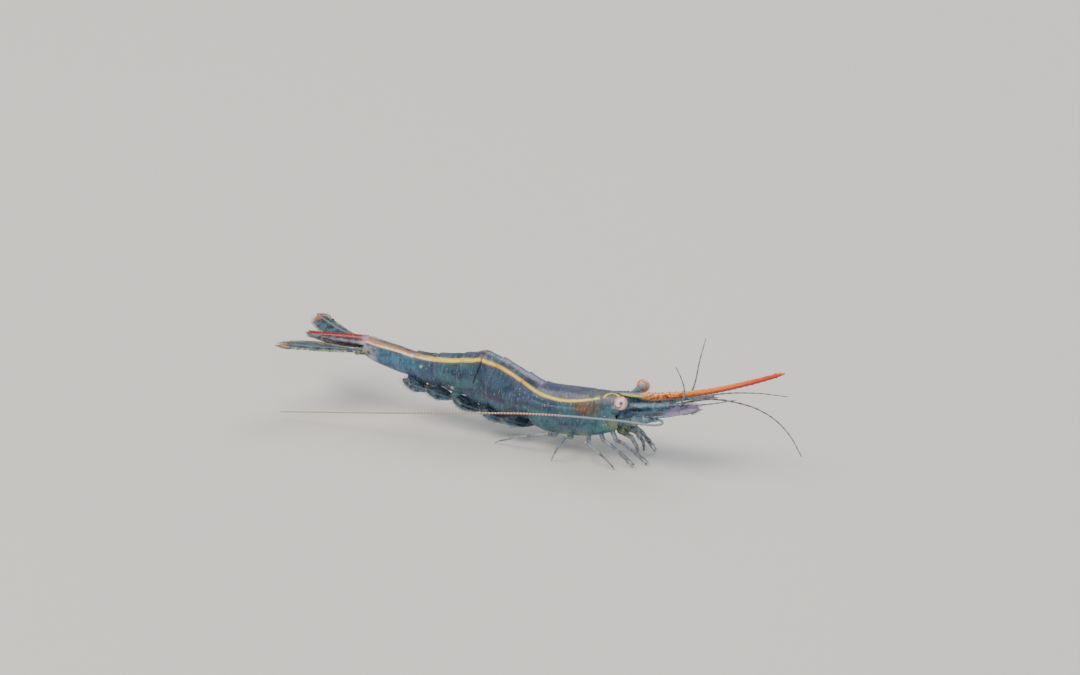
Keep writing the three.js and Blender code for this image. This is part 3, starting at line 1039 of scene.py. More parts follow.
@dataclass(frozen=True)
class Trunk:
    """The rounded form that the shell plates share."""

    # x, the height of the back and the half width there.
    form: tuple[Spot, ...] = (
        (-21.7, 5.68, 0.6), (-19.3, 5.4, 0.74), (-17.8, 5.2, 0.86), (-16, 5.32, 1.0), (-14.2, 5.66, 1.16),
        (-12.8, 5.98, 1.26), (-12.1, 6.26, 1.34), (-11.4, 6.1, 1.4), (-10.3, 5.76, 1.46), (-8.9, 5.2, 1.5),
        (-7.6, 4.68, 1.52), (-6.6, 4.52, 1.62), (-4.6, 4.66, 1.7), (-2.6, 4.78, 1.55), (-0.8, 4.84, 1.2),
        (0.6, 4.75, 0.95),
    )
    lower: Profile = Profile(
        (
            (-21.6, 4.1), (-18, 3.15), (-16.4, 2.9), (-14.4, 2.6), (-12.1, 2.1), (-9.8, 1.6), (-8, 1.65),
            (-7.15, 1.2), (-4, 1.08), (-2.5, 1.4), (-0.75, 1.95),
        )
    )
    fullness: float = 0.8
    sag: float = 0.16

    @cached_property
    def back(self) -> Profile:
        """The height of the back."""
        return Profile(tuple((x, back) for x, back, _ in self.form))

    @cached_property
    def half(self) -> Profile:
        """The half width."""
        return Profile(tuple((x, half) for x, _, half in self.form))

    def point(self, x: float, turn: float, lower: float | None = None, out: float = 0.0) -> Vector:
        """A point on the form.

        Args:
            x: its place along the body.
            turn: its angle round the body from the back, in radians, positive to the left.
            lower: the height of the form's lower edge there, the form's own if it is left out.
            out: how far the point stands off the form.

        Returns:
            The point.
        """
        floor = self.lower(x) if lower is None else lower
        sine, cosine, half, back = math.sin(turn), math.cos(turn), self.half(x), self.back(x)
        wide = abs(sine) ** self.fullness * (1 - self.sag * cosine) * math.copysign(1, sine)
        flat = Vector((0, sine, cosine * half * 2 / (back - floor)))
        return Vector((x, half * wide, mix(floor, back, (1 + cosine) / 2))) + flat.normalized() * out


@dataclass(frozen=True)
class Markings:
    """The lines drawn on the shell, as places along the body and angles in degrees from the back."""

    trunk: Trunk = Trunk()
    gold: tuple[Pair, ...] = (
        (-21.7, 34), (-20.4, 34), (-19.1, 28), (-17.7, 27), (-16.1, 34), (-14.7, 38), (-13.3, 36), (-12.1, 38),
        (-10.9, 33), (-9.5, 32), (-8.0, 39), (-6.5, 45), (-5.3, 49.5), (-4.2, 48), (-3.2, 42), (-2.3, 34),
    )
    arch: tuple[Pair, ...] = ((-1.95, 29), (-1.8, 14), (-1.5, 5), (-1.15, 9), (-0.85, 19))
    gold_reach: Profile = Profile(
        ((-21.7, 0.25), (-17.5, 0.23), (-13, 0.19), (-9, 0.17), (-6, 0.14), (-2.3, 0.11))
    )
    arch_reach: float = 0.1
    bar: tuple[Pair, ...] = ((-12.0, 0), (-11.96, 52), (-12.2, 75), (-12.4, 92))
    flank: tuple[Pair, ...] = ((-14.5, 123), (-12.4, 110), (-9.6, 102), (-7.3, 80), (-6.0, 75))
    cuts: int = 8
    gold_cuts: int = 40

    def line(self, places: Sequence[Pair]) -> np.ndarray:
        """A line on the right side of the form.

        Args:
            places: its corners.

        Returns:
            Points along it, with each stretch between two corners cut up so that it follows the form.
        """
        shares = [i / self.cuts for i in range(self.cuts + 1)]
        dense = [(mix(a[0], b[0], s), mix(a[1], b[1], s)) for a, b in zip(places, places[1:]) for s in shares]
        return np.array([self.trunk.point(x, -math.radians(turn)) for x, turn in dense])

    def paint(self, surface: Surface) -> Surface:
        """Marks a surface with the distance of its points from each line.

        Args:
            surface: a part of the shell.

        Returns:
            The surface. Its mark gold is 1 at the golden line's edge, and over is how far above the line it is.
        """
        spots = np.array(surface.points)
        spots[:, 1] = -np.abs(spots[:, 1])
        turns = Profile(self.gold)
        xs = [mix(self.gold[0][0], self.gold[-1][0], i / self.gold_cuts) for i in range(self.gold_cuts + 1)]
        line = self.line([(x, turns(x)) for x in xs])
        reach = np.array([self.gold_reach(x) for x in spots[:, 0]])
        arch = distance(spots, self.line(self.arch)) / self.arch_reach
        over = spots[:, 2] - np.interp(spots[:, 0], line[:, 0], line[:, 2])
        made = {
            "gold": np.minimum(distance(spots, line) / reach, arch),
            "over": over / reach,
            "bar": distance(spots, self.line(self.bar)),
            "flank": distance(spots, self.line(self.flank)),
        }
        surface.marks.update((name, values.tolist()) for name, values in made.items())
        return surface


# ---- Sub-assemblies ----


class SubAssembly:
    """What every sub-assembly shares: a way to turn a surface into a dressed piece of the model."""

    def piece(
        self,
        name: str,
        surface: Surface,
        finish: Finish,
        slot: Slot,
        nodes: Iterable[str] = (),
        thickness: float = 0.0,
    ) -> bpy.types.Object:
        """Builds and dresses a piece, and ties it to the frame.

        Args:
            name: the piece's name.
            surface: its shape.
            finish: what it is dressed in.
            slot: not used.
            nodes: the solids that it stands for.
            thickness: how thick an open surface is made, in millimetres.

        Returns:
            The piece.
        """
        made = surface.build(name, thickness)
        made.data.materials.clear()
        made.data.materials.append(finish.material())
        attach(made, "root")
        if nodes:
            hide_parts(*nodes)
        log.info("%s: %d faces, finish %s", name, len(made.data.polygons), finish.name)
        return made


@dataclass
class Coat(SubAssembly):
    """Hairs in the making, each with its own patch on an unwrap of what it grows from."""

    name: str
    seed: int
    surface: Surface = field(default_factory=Surface)
    patches: list[Pair] = field(default_factory=list)
    patch_size: float = 0.003
    thickness: float = 0.009
    sides: int = 3

    def __post_init__(self) -> None:
        """Starts the hairs' own random numbers."""
        self.random = random.Random(self.seed)

    def way(self, spread: float) -> Vector:
        """A random way, spread about no way at all."""
        return Vector([self.random.gauss(0, spread) for _ in range(3)])

    def grow(
        self, root: Vector, hair: Vector, patch: Pair, bend: Vector = Vector(), thick: float = 0.0
    ) -> None:
        """Adds one hair.

        Args:
            root: where it grows from.
            hair: the way to its point, as long as it is.
            patch: the root's place on the unwrap.
            bend: how far its middle stands off the straight line.
            thick: half its thickness at the root, the coat's own if it is 0.
        """
        made = spine(root, root + hair, thick or self.thickness, bend, self.sides)
        for i, share in enumerate(made.marks["along"]):
            across = (i % self.sides) / self.sides
            self.patches.append((patch[0] + self.patch_size * share, patch[1] + self.patch_size * across))
        self.surface.add(made)

    def dress(self, finish: Finish, slot: Slot) -> None:
        """Builds the hairs as one piece with its unwrap.

        Args:
            finish: what they are dressed in.
            slot: the slot that is handed on to the piece.
        """
        made = self.piece(self.name, self.surface, finish, slot)
        layer = made.data.uv_layers.new(name="OFBake")
        flat = [c for loop in made.data.loops for c in self.patches[loop.vertex_index]]
        layer.data.foreach_set("uv", flat)


@dataclass
class Shell(SubAssembly):
    """The carapace, the six rings of the abdomen, and the flesh that shows under them."""

    trunk: Trunk = Trunk()
    markings: Markings = Markings()
    thickness: float = 0.06
    columns: int = 121
    carapace_rows: int = 66
    rows_per_mm: int = 11
    hem_turn: float = 158.0  # degrees from the back to the lower edge of a plate
    lip: float = 0.05  # flare of a plate's rear edge
    overlap: float = 0.1  # how far a plate reaches back past its joint line
    tuck: float = 0.3  # how far a ring reaches forward under the plate before it
    tuck_depth: float = 0.1
    hem_fall: float = 0.03  # about how far a degree reaches round a plate at its lower edge
    crease_depth: float = 0.035
    neck_depth: float = 0.06
    gill_depth: float = 0.035
    flesh_depth: float = 0.2
    flesh_rows: int = 120
    flesh_sides: int = 48

    carapace_hem: Profile = Profile(((0, 1.95), (0.12, 1.62), (0.3, 1.28), (0.6, 1.06), (0.85, 1.06), (1, 1.3)))
    carapace_front: Profile = Profile(
        (
            (0, -0.5), (14, -0.55), (30, -0.95), (50, -1.12), (66, -0.85), (75, -0.32), (84, -0.78), (105, -0.62),
            (130, -0.7), (158, -1.15),
        )
    )
    rings: tuple[Hem, ...] = (
        Hem(1.75, 1.85, 0.15),
        Hem(1.75, 2.1, 0.35),
        Hem(2.15, 2.7, 0.35),
        Hem(2.65, 3.05, 0.25),
        Hem(3.0, 3.2, 0.2),
        Hem(3.1, 4.1, 0.1),
    )

    def stand_off(self, x: float, angle: float, share: float, ring: bool) -> float:
        """How far a plate stands off the form.

        Args:
            x: the place along the body.
            angle: the angle from the back, in degrees.
            share: the place along the plate, from 0 at its front edge to 1 at its rear edge.
            ring: whether the plate is a ring of the abdomen.

        Returns:
            The distance, less than 0 inside the form.
        """
        flare = self.lip * step(0.55, 1.0, share)
        if ring:
            tucked = self.tuck_depth * (1 - step(0.0, 0.3, share))
            return flare - tucked - self.crease_depth * bump(share, 0.3, 0.05)
        neck = self.neck_depth * bump(x, -3.0 + 0.9 * (angle / 90) ** 2, 0.13) * step(130, 60, angle)
        gill = self.gill_depth * bump(angle, 64, 3) * step(-3.0, -4.0, x)
        return flare - neck - gill

    def plate(self, front: Joint | Profile, rear: Joint, hem: Hem | Profile, rows: int) -> Surface:
        """One plate of the shell, open below.

        Args:
            front: the joint line that a ring is tucked under, or x of the carapace's front edge at each angle.
            rear: the joint line behind it.
            hem: the height of its lower edge at a share of its length.
            rows: how many rows of faces it has.

        Returns:
            The plate, with its markings.
        """
        ring = isinstance(front, Joint)
        grid: list[list[Vector]] = []
        rim: list[float] = []
        for i in range(rows + 1):
            share = i / rows
            line = []
            for j in range(self.columns):
                signed = self.hem_turn * (2 * j / (self.columns - 1) - 1)
                turn, angle = math.radians(signed), abs(signed)
                height = (1 + math.cos(turn)) / 2
                start = front.x(height) + self.tuck if ring else front(angle)
                end = rear.x(height) - self.overlap
                x = mix(start, end, share)
                line.append(self.trunk.point(x, turn, hem(share), self.stand_off(x, angle, share, ring)))
                below = (self.hem_turn - angle) * self.hem_fall
                rim.append(min(abs(x - end), below, 1.0 if ring else abs(x - start)))
            grid.append(line)
        made = skin(grid, closed=False, capped=False)
        made.marks["rim"] = rim
        return self.markings.paint(made)

    def flesh(self) -> Surface:
        """The flesh inside the shell, ribbed a little where the rings bend.

        Returns:
            The flesh.
        """
        rows = []
        for i in range(self.flesh_rows + 1):
            x = mix(-0.95, -21.5, i / self.flesh_rows)
            lower = self.trunk.lower(x) + 0.25 + 0.05 * math.cos(2 * math.pi * (x + 7.2) / 1.95)
            turns = (a - math.pi for a in around(self.flesh_sides))
            rows.append([self.trunk.point(x, turn, lower, -self.flesh_depth) for turn in turns])
        return skin(rows)

    def build(self) -> None:
        """Builds the plates and the flesh."""
        carapace = self.plate(self.carapace_front, JOINTS[0], self.carapace_hem, self.carapace_rows)
        self.piece("carapace_shell", carapace, SHELL, Slot.SHELL, ["carapace"], self.thickness)
        for n, (front, rear, hem) in enumerate(zip(JOINTS, JOINTS[1:], self.rings), 1):
            plate = self.plate(front, rear, hem, round((front.at - rear.at) * self.rows_per_mm))
            self.piece(f"ring_{n}_shell", plate, SHELL, Slot.SHELL, [f"abdomen_ring_{n}"], self.thickness)
        self.piece("flesh_in_shell", self.flesh(), FLESH, Slot.SHELL)


@dataclass
class Rostrum(SubAssembly):
    """The long toothed nose: a thin blade with a rib along each side."""

    root: float = -2.3
    reach: float = 12.4
    level: float = 4.86
    rise: float = 3.96
    sunk: float = 0.12
    depth: Profile = Profile(
        ((0, 0.03), (0.05, 0.14), (0.12, 0.25), (0.2, 0.31), (0.45, 0.26), (0.75, 0.21), (0.95, 0.17), (1, 0.1))
    )
    half: Profile = Profile(
        ((0, 0.03), (0.06, 0.16), (0.14, 0.27), (0.35, 0.18), (0.75, 0.14), (0.95, 0.11), (1, 0.07))
    )
    rows: int = 110
    sides: int = 24
    upper_teeth: int = 9
    upper_span: Pair = (0.13, 0.44)
    upper_length: float = 0.22
    last_tooth: Pair = (0.955, 0.16)
    lower_teeth: int = 22
    lower_span: Pair = (0.26, 0.95)
    lower_lengths: Pair = (0.16, 0.1)

    def axis(self, share: float) -> Vector:
        """A point of its middle line.

        Args:
            share: its place, from 0 at the root on the carapace to 1 at the tip.

        Returns:
            The point.
        """
        x = mix(self.root, self.reach, share)
        ahead = max(x, 0) / self.reach
        return Vector((x, 0, self.level - self.sunk * (1 - step(-2.3, -0.4, x)) + self.rise * ahead**1.5))

    def ways(self, share: float) -> tuple[Vector, Vector]:
        """The directions ahead and up at a share of its length."""
        ahead = (self.axis(min(share + 0.01, 1)) - self.axis(max(share - 0.01, 0))).normalized()
        return ahead, Vector((-ahead.z, 0, ahead.x))

    def tooth(self, share: float, above: int, length: float) -> Surface:
        """One tooth, leaning forwards.

        Args:
            share: its place along the nose.
            above: 1 on the upper edge and -1 on the lower one.
            length: its length.

        Returns:
            The tooth.
        """
        ahead, up = self.ways(share)
        up = up * above
        root = self.axis(share) + up * (self.depth(share) * 0.72)
        tip = root + ahead * (length * 0.8) + up * (length * 0.75)
        return spine(root, tip, 0.04 + length * 0.1, up * 0.02, 7).stamp(reach=share, depth=0.8 * above)

    def build(self) -> None:
        """Builds the nose as one piece with its teeth."""
        rows, reach, depth = [], [], []
        section = around(self.sides)
        for i in range(self.rows + 1):
            share = i / self.rows
            _, up = self.ways(share)
            row = []
            for a in section:
                rib = math.copysign(abs(math.cos(a)) ** (1.6 * (1 + 0.25 * share)), math.cos(a))
                wide = Vector((0, rib * self.half(share), 0))
                row.append(self.axis(share) + wide + up * (math.sin(a) * self.depth(share)))
            rows.append(row)
            reach += [share] * self.sides
            depth += [math.sin(a) for a in section]
        made = skin(rows)
        made.marks = {"reach": reach + [0.0, 1.0], "depth": depth + [0.0, 0.0]}
        for i in range(self.upper_teeth):
            made.add(self.tooth(mix(*self.upper_span, i / (self.upper_teeth - 1)), 1, self.upper_length))
        made.add(self.tooth(self.last_tooth[0], 1, self.last_tooth[1]))
        for i in range(self.lower_teeth):
            length = mix(*self.lower_lengths, i / self.lower_teeth)
            made.add(self.tooth(mix(*self.lower_span, i / (self.lower_teeth - 1)), -1, length))
        self.piece("rostrum_blade", made, NOSE, Slot.ROSTRUM, ["rostrum"])


@dataclass
class Eyes(SubAssembly):
    """The two faceted eyes on their stalks."""

    spread: float = 1.9
    height: float = 4.9
    radii: Spot = (0.53 * 0.98, 0.53 * 0.98, 0.53)
    rings: int = 32
    axis: Spot = (0.2, 1, 0.05)
    pupil: Spot = (0.42, 0.83, 0.37)
    inner: Spot = (0.42, -0.83, 0.37)
    curl_reach: float = 0.3
    stalk_path: tuple[Spot, ...] = ((-0.6, 0.25, 4.5), (-0.25, 0.9, 4.7), (-0.05, 1.5, 4.86))
    stalk_girth: Profile = Profile(((0, 0.26), (0.5, 0.22), (0.85, 0.27), (1, 0.29)))

    def eye(self, side: Side) -> Surface:
        """One eye.

        Args:
            side: the side that it is on.

        Returns:
            The eye, with marks for the way from its pupil, its curl and its inner patch.
        """
        centre = side.at(0, self.spread, self.height)
        made = ball(centre, self.radii, side.at(*self.axis), self.rings)
        pupil, inner = (side.at(*aim).normalized() for aim in (self.pupil, self.inner))
        low = (pupil + side.at(-0.42, 0, -0.24)).normalized()
        ways = [(p - centre).normalized() for p in made.points]
        for name, aim in (("pupil", pupil), ("inner", inner), ("curl", low)):
            made.marks[name] = [way.angle(aim) / math.pi * 2 for way in ways]
        rings = zip(made.marks["curl"], ways)
        made.marks["curl"] = [abs(away - self.curl_reach) + max(0.0, way.z) * 0.6 for away, way in rings]
        return made

    def stalk(self, side: Side) -> Surface:
        """The stalk, which swells into a cup under its eye.

        Args:
            side: the side that it is on.

        Returns:
            The stalk, with the mark joint at its one joint.
        """
        path = curve(side.path(self.stalk_path), 14)
        made = sweep(path, lambda t: (self.stalk_girth(t),) * 2, across=Vector((1, 0, 0)), sides=20)
        made.marks["joint"] = [0.9 if 0.3 < t < 0.36 else 0.0 for t in made.marks["along"]]
        return made

    def build(self) -> None:
        """Builds both eyes and both stalks."""
        for side in Side:
            self.piece(f"eye_ball_{side.word}", self.eye(side), EYE, Slot.EYE, [f"eye_{side.word}"])
            node = f"eyestalk_{side.word}"
            self.piece(f"eye_stem_{side.word}", self.stalk(side), EYESTALK, Slot.SHELL, [node])


def limb(joints: Sequence[Vector], girths: Sequence[float], *, flat: float = 1.0, sides: int = 12) -> Surface:
    """A jointed limb.

    Args:
        joints: the places of its joints, from its root to its tip.
        girths: its half thickness at each of them.
        flat: its height as a share of its width.
        sides: how many sides each segment has.

    Returns:
        The limb, with the mark joint, which is 1 at the ends of each segment.
    """
    made = Surface()
    for a, b, thick, thin in zip(joints, joints[1:], girths, girths[1:]):
        path = [a.lerp(b, i / 10) for i in range(11)]
        middle = mix(thick, thin, 0.5)
        swell = Profile(
            ((0, thick * 0.96), (0.12, thick * 0.98), (0.5, middle), (0.85, thin * 1.02), (1, thin * 1.12))
        )
        part = sweep(path, lambda t, s=swell: (s(t), s(t) * flat), sides=sides)
        ends = [min(t, 1 - t) for t in part.marks["along"]]
        part.marks["joint"] = [1 - end * 5 if end < 0.2 else 0.0 for end in ends]
        made.add(part)
    return made


@dataclass(frozen=True)
class Whip:
    """One feeler: its path with y outwards, its parts, its half thickness at both ends and its finish."""

    path: tuple[Spot, ...]
    steps: int = 90
    thick: float = 0.085
    thin: float = 0.03
    finish: Finish = WHIP

    def surface(self, side: Side) -> Surface:
        """The feeler, ringed lightly.

        Args:
            side: the side that it is on.

        Returns:
            The feeler, with the mark reach in millimetres from its base.
        """
        path = curve(side.path(self.path), self.steps)
        length = sum((b - a).length for a, b in zip(path, path[1:]))

        def girth(t: float) -> Pair:
            """Its half width and half height at a share of its length."""
            return (mix(self.thick, self.thin, t**0.7) * (1 + 0.07 * math.sin(t * self.steps * 2.1)),) * 2

        made = sweep(path, girth, across=Vector((0.3, 1, 0.2)).normalized(), sides=9)
        made.marks["reach"] = [t * length for t in made.marks["along"]]
        return made


WHIPS = {
    "antennule_outer_right": Whip(((4.35, 0.75, 5.14), (4.75, 0.95, 6.2), (4.65, 1.2, 7.3), (4.3, 1.5, 8.4))),
    "antennule_outer_left": Whip(((4.35, 0.75, 5.14), (4.65, 1.1, 6.4), (4.8, 1.5, 7.9), (5.05, 2.0, 9.5))),
    "antennule_inner_right": Whip(((4.4, 0.75, 5.1), (6.0, 0.95, 5.5), (7.6, 1.1, 6.0), (9.1, 1.2, 6.55))),
    "antennule_inner_left": Whip(((4.4, 0.75, 5.1), (7.2, 0.9, 5.95), (9.9, 1.0, 6.4), (12.2, 1.1, 6.5))),
    "antenna_right": Whip(
        (
            (2.7, 1.6, 4.0), (3.3, 1.85, 4.08), (3.55, 2.3, 4.05), (3.0, 2.65, 3.98), (0, 2.6, 3.8),
            (-6.4, 3.1, 3.35), (-12, 3.7, 2.65), (-18, 4.3, 1.8), (-26.4, 5.1, 0.7),
        ),
        420, 0.1, 0.04, FEELER,
    ),
    "antenna_left": Whip(
        (
            (2.7, 1.6, 4.0), (5.5, 2.1, 4.75), (8.2, 2.6, 4.55), (9.9, 3.1, 3.75), (11.1, 3.6, 2.4),
            (11.9, 4.1, 0.6),
        ),
        200, 0.1, 0.035,
    ),
}


@dataclass
class Feelers(SubAssembly):
    """The jointed bases of the feelers and the six feelers themselves."""

    antennule: tuple[Spot, ...] = ((-0.3, 0.62, 4.1), (2.2, 0.74, 4.62), (3.35, 0.75, 4.88), (4.35, 0.75, 5.14))
    antennule_girths: tuple[float, ...] = (0.4, 0.3, 0.26, 0.2)
    antenna: tuple[Spot, ...] = ((-0.35, 1.0, 3.1), (0.9, 1.38, 3.5), (1.8, 1.52, 3.78), (2.7, 1.6, 4.0))
    antenna_girths: tuple[float, ...] = (0.42, 0.4, 0.3, 0.2)
    thorn: tuple[Spot, Spot] = ((0.3, 0.98, 4.3), (2.0, 1.12, 4.72))
    joint_thorns: tuple[Pair, ...] = ((2.25, 4.75), (3.4, 5.0))

    def build(self) -> None:
        """Builds the bases and the feelers of both sides."""
        for side in Side:
            made = limb(side.path(self.antennule), self.antennule_girths, flat=0.85, sides=18)
            made.add(spine(*side.path(self.thorn), 0.14, side.at(0, 0.08, 0), 8))
            for x, z in self.joint_thorns:
                made.add(spine(side.at(x - 0.1, 0.95, z - 0.15), side.at(x + 0.3, 1.05, z + 0.02), 0.06))
            node = f"antennule_base_{side.word}"
            self.piece(f"antennule_stem_{side.word}", made, STALK, Slot.LIMB, [node])
            made = limb(side.path(self.antenna), self.antenna_girths, flat=0.9, sides=18)
            self.piece(f"antenna_stem_{side.word}", made, STALK, Slot.LIMB, [f"antenna_base_{side.word}"])
        for node, whip in WHIPS.items():
            self.piece(node + "_whip", whip.surface(side_of(node)), whip.finish, Slot.FEELER, [node])


@dataclass(frozen=True)
class Blade:
    """A thin fin along a rib, with its own half widths on the outer and the inner side."""

    path: tuple[Vector, ...]
    outer: Profile
    inner: Profile
    across: Vector
    thickness: float = 0.12
    crown: float = 0.0
    rows: int = 40
    columns: int = 14
    cuts: int = 40
    last: float = 0.9999  # the greatest share that still lies before the rib's end

    @cached_property
    def rib(self) -> list[Vector]:
        """The rib, cut into short lengths."""
        return curve(self.path, self.cuts)

    def frame(self, share: float) -> tuple[Vector, Vector, Vector, Vector]:
        """Where the rib is and how it lies.

        Args:
            share: the place along it.

        Returns:
            The rib's point there, and the directions ahead, outwards and up.
        """
        place = min(share, self.last) * self.cuts
        i = int(place)
        spot = self.rib[i].lerp(self.rib[i + 1], place - i)
        ahead = (self.rib[min(i + 2, self.cuts)] - self.rib[max(i - 1, 0)]).normalized()
        out = (self.across - ahead * self.across.dot(ahead)).normalized()
        up = ahead.cross(out)
        return spot, ahead, out, up if up.z > 0 else -up

    def half(self, share: float, cross: float) -> float:
        """The half width on the side of the rib that cross, from -1 inside to 1 outside, is on."""
        return self.outer(share) if cross > 0 else self.inner(share)

    def edge(self, share: float, cross: float) -> tuple[Vector, Vector, Vector]:
        """A point across the blade.

        Args:
            share: its place along the rib.
            cross: its place across, from -1 inside to 1 outside.

        Returns:
            The point, and the ways ahead and outwards there.
        """
        spot, ahead, out, up = self.frame(share)
        spot = spot + out * (self.half(share, cross) * cross) + up * (self.crown * (1 - cross * cross))
        return spot, ahead, out * math.copysign(1, cross)

    def surface(self) -> Surface:
        """The blade, thickest along its rib and its root.

        Returns:
            The blade, with the marks along and cross.
        """
        loop = around(2 * self.columns)
        rows, along, cross = [], [], []
        for i in range(self.rows + 1):
            share = math.sin(math.pi / 2 * i / self.rows)
            spot, _, out, up = self.frame(share)
            row = []
            for a in loop:
                c = math.cos(a)
                rib = 1 + 1.4 * bump(c, 0, 0.12)
                high = math.sin(a) * self.thickness / 2 * rib * mix(1.3, 0.7, share)
                row.append(spot + out * (self.half(share, c) * c) + up * (high + self.crown * (1 - c * c)))
            rows.append(row)
            along += [share] * len(loop)
            cross += [math.cos(a) for a in loop]
        made = skin(rows)
        made.marks = {"along": along + [0.0, 1.0], "cross": cross + [0.0, 0.0]}
        return made

    def fringe(
        self, coat: Coat, spans: Sequence[tuple[float, float, int]], count: int, length: float, cell: int
    ) -> None:
        """Grows hairs from the blade's margin.

        Args:
            coat: the hairs that it adds to.
            spans: shares of the length between which they grow, and the side, 1 outer or -1 inner.
            count: how many hairs a span has.
            length: a hair's length.
            cell: which of the coat's 64 squares of the unwrap the blade has.
        """
        left, low = (cell % 8) / 8, (cell // 8) / 8
        for start, end, side in spans:
            for i in range(count):
                share = mix(start, end, (i + coat.random.random() * 0.6) / count)
                root, ahead, out = self.edge(share, side)
                lean = mix(0.9, 1.6, share) + coat.random.uniform(-0.08, 0.08)
                way = (out + ahead * lean * (1 + 2.5 * step(0.9, 1.0, share))).normalized()
                reach = length * coat.random.uniform(0.85, 1.1)
                patch = (left + 0.01 + 0.1 * share, low + 0.06 + 0.045 * side)
                coat.grow(root - way * 0.03, way * (reach + 0.03), patch, ahead * (0.03 * reach), 0.011)


@dataclass
class AntennalScales(SubAssembly):
    """The two broad scales beside the nose, with the bristles of their inner margins."""

    path: tuple[Spot, ...] = ((0.7, 1.15, 3.95), (3.2, 1.5, 4.5), (6.1, 1.25, 5.35))
    outer: Profile = Profile(((0, 0.3), (0.15, 0.4), (0.6, 0.42), (0.86, 0.36), (0.95, 0.22), (1, 0.05)))
    inner: Profile = Profile(
        ((0, 0.25), (0.15, 0.5), (0.4, 0.8), (0.65, 0.78), (0.85, 0.55), (0.95, 0.32), (1, 0.06))
    )
    stem: tuple[Spot, ...] = ((-0.3, 0.95, 3.5), (0.3, 1.1, 3.78), (1.0, 1.18, 4.0))
    stem_girths: tuple[float, ...] = (0.34, 0.34, 0.2)
    bristles: int = 90
    bristle: float = 0.42

    def build(self) -> None:
        """Builds both scales and their bristles."""
        coat = Coat("scale_bristles", 11)
        for cell, side in enumerate(Side):
            path = tuple(side.path(self.path))
            blade = Blade(path, self.outer, self.inner, side.at(0, 1, -0.55), 0.1, 0.05)
            made = blade.surface()
            corner, ahead, _ = blade.edge(0.84, 1)
            thorn = spine(corner - ahead * 0.35, corner + ahead * 0.42, 0.08, sides=7)
            made.add(thorn.stamp(along=0.8, cross=0.9))
            made.add(limb(side.path(self.stem), self.stem_girths).stamp(along=0.1, cross=0.3))
            node = f"antenna_scale_{side.word}"
            self.piece(node + "_blade", made, SCALE, Slot.FIN, [node])
            blade.fringe(coat, ((0.2, 1.0, -1), (0.86, 1.0, 1)), self.bristles, self.bristle, cell)
        coat.dress(BRISTLE, Slot.FIN)


@dataclass
class Mouth(SubAssembly):
    """The jaws, the palps beside them, the flesh behind the feelers' bases and the third maxillipeds."""

    lobes: tuple[tuple[Spot, Spot], ...] = (
        ((-0.55, 0.5, 3.0), (0.3, 0.34, 0.66)),
        ((-0.3, 0.34, 2.55), (0.2, 0.26, 0.62)),
        ((-0.55, 0.62, 2.35), (0.22, 0.3, 0.55)),
        ((-0.15, 0.15, 3.0), (0.2, 0.2, 0.42)),
        ((-0.7, 0.4, 2.1), (0.3, 0.32, 0.3)),
    )
    palps: int = 3
    head: tuple[tuple[Spot, Spot], ...] = (
        ((-0.35, 0.3, 3.95), (0.75, 0.8, 0.62)),
        ((-0.45, 0.55, 3.35), (0.6, 0.55, 0.5)),
        ((-0.85, 0.72, 4.0), (0.8, 0.42, 0.5)),
    )
    maxilliped: tuple[Spot, ...] = ((-0.7, 0.42, 2.0), (0.2, 0.5, 1.75), (0.65, 0.55, 1.1), (0.75, 0.5, 0.45))
    maxilliped_girths: tuple[float, ...] = (0.2, 0.17, 0.13, 0.06)
    bristles: int = 110
    bristle: float = 0.32

    def jaws(self) -> Surface:
        """The lobes of the jaws and the palps of both sides.

        Returns:
            The surface.
        """
        made = Surface()
        for side in Side:
            for centre, radii in self.lobes:
                made.add(ball(side.at(*centre), radii, side.at(0.6, 0.3, -1), 14))
            for n in range(self.palps):
                root = side.at(-0.2 - 0.2 * n, 0.62, 2.5 - 0.2 * n)
                made.add(spine(root, root + side.at(0.75, 0.12, -0.35), 0.08, side.at(0, 0.1, 0.05), 7))
        return made

    def brush(self, coat: Coat, joints: Sequence[Vector], height: float) -> None:
        """Grows the bristles of one maxilliped.

        Args:
            coat: the hairs that it adds to.
            joints: the limb's joints.
            height: its height on the unwrap.
        """
        for _ in range(self.bristles):
            share = coat.random.random()
            span = 1 + int(share * 2)
            root = joints[span].lerp(joints[span + 1], (share * 2) % 1)
            way = (coat.way(1).normalized() * 0.6 + Vector((0.3, 0, -0.7))).normalized()
            coat.grow(root, way * self.bristle, (0.02 + 0.4 * share, height))

    def build(self) -> None:
        """Builds the mouthparts, the flesh behind the bases, and each maxilliped with its brush."""
        self.piece("mouth_lobes", self.jaws(), MOUTH, Slot.SHELL, ["mouthparts"])
        core = Surface()
        for side in Side:
            for centre, radii in self.head:
                core.add(ball(side.at(*centre), radii, Vector((1, 0, 0)), 16))
        self.piece("head_between_bases", core, STALK, Slot.SHELL)
        coat = Coat("maxilliped_bristles", 23)
        for side, height in ((Side.RIGHT, 0.7), (Side.LEFT, 0.2)):
            joints = side.path(self.maxilliped)
            made = limb(joints, self.maxilliped_girths)
            self.piece(f"maxilliped_{side.word}_limb", made, LIMB, Slot.LIMB, [f"maxilliped_{side.word}"])
            self.brush(coat, joints, height)
        coat.dress(BRISTLE, Slot.LIMB)


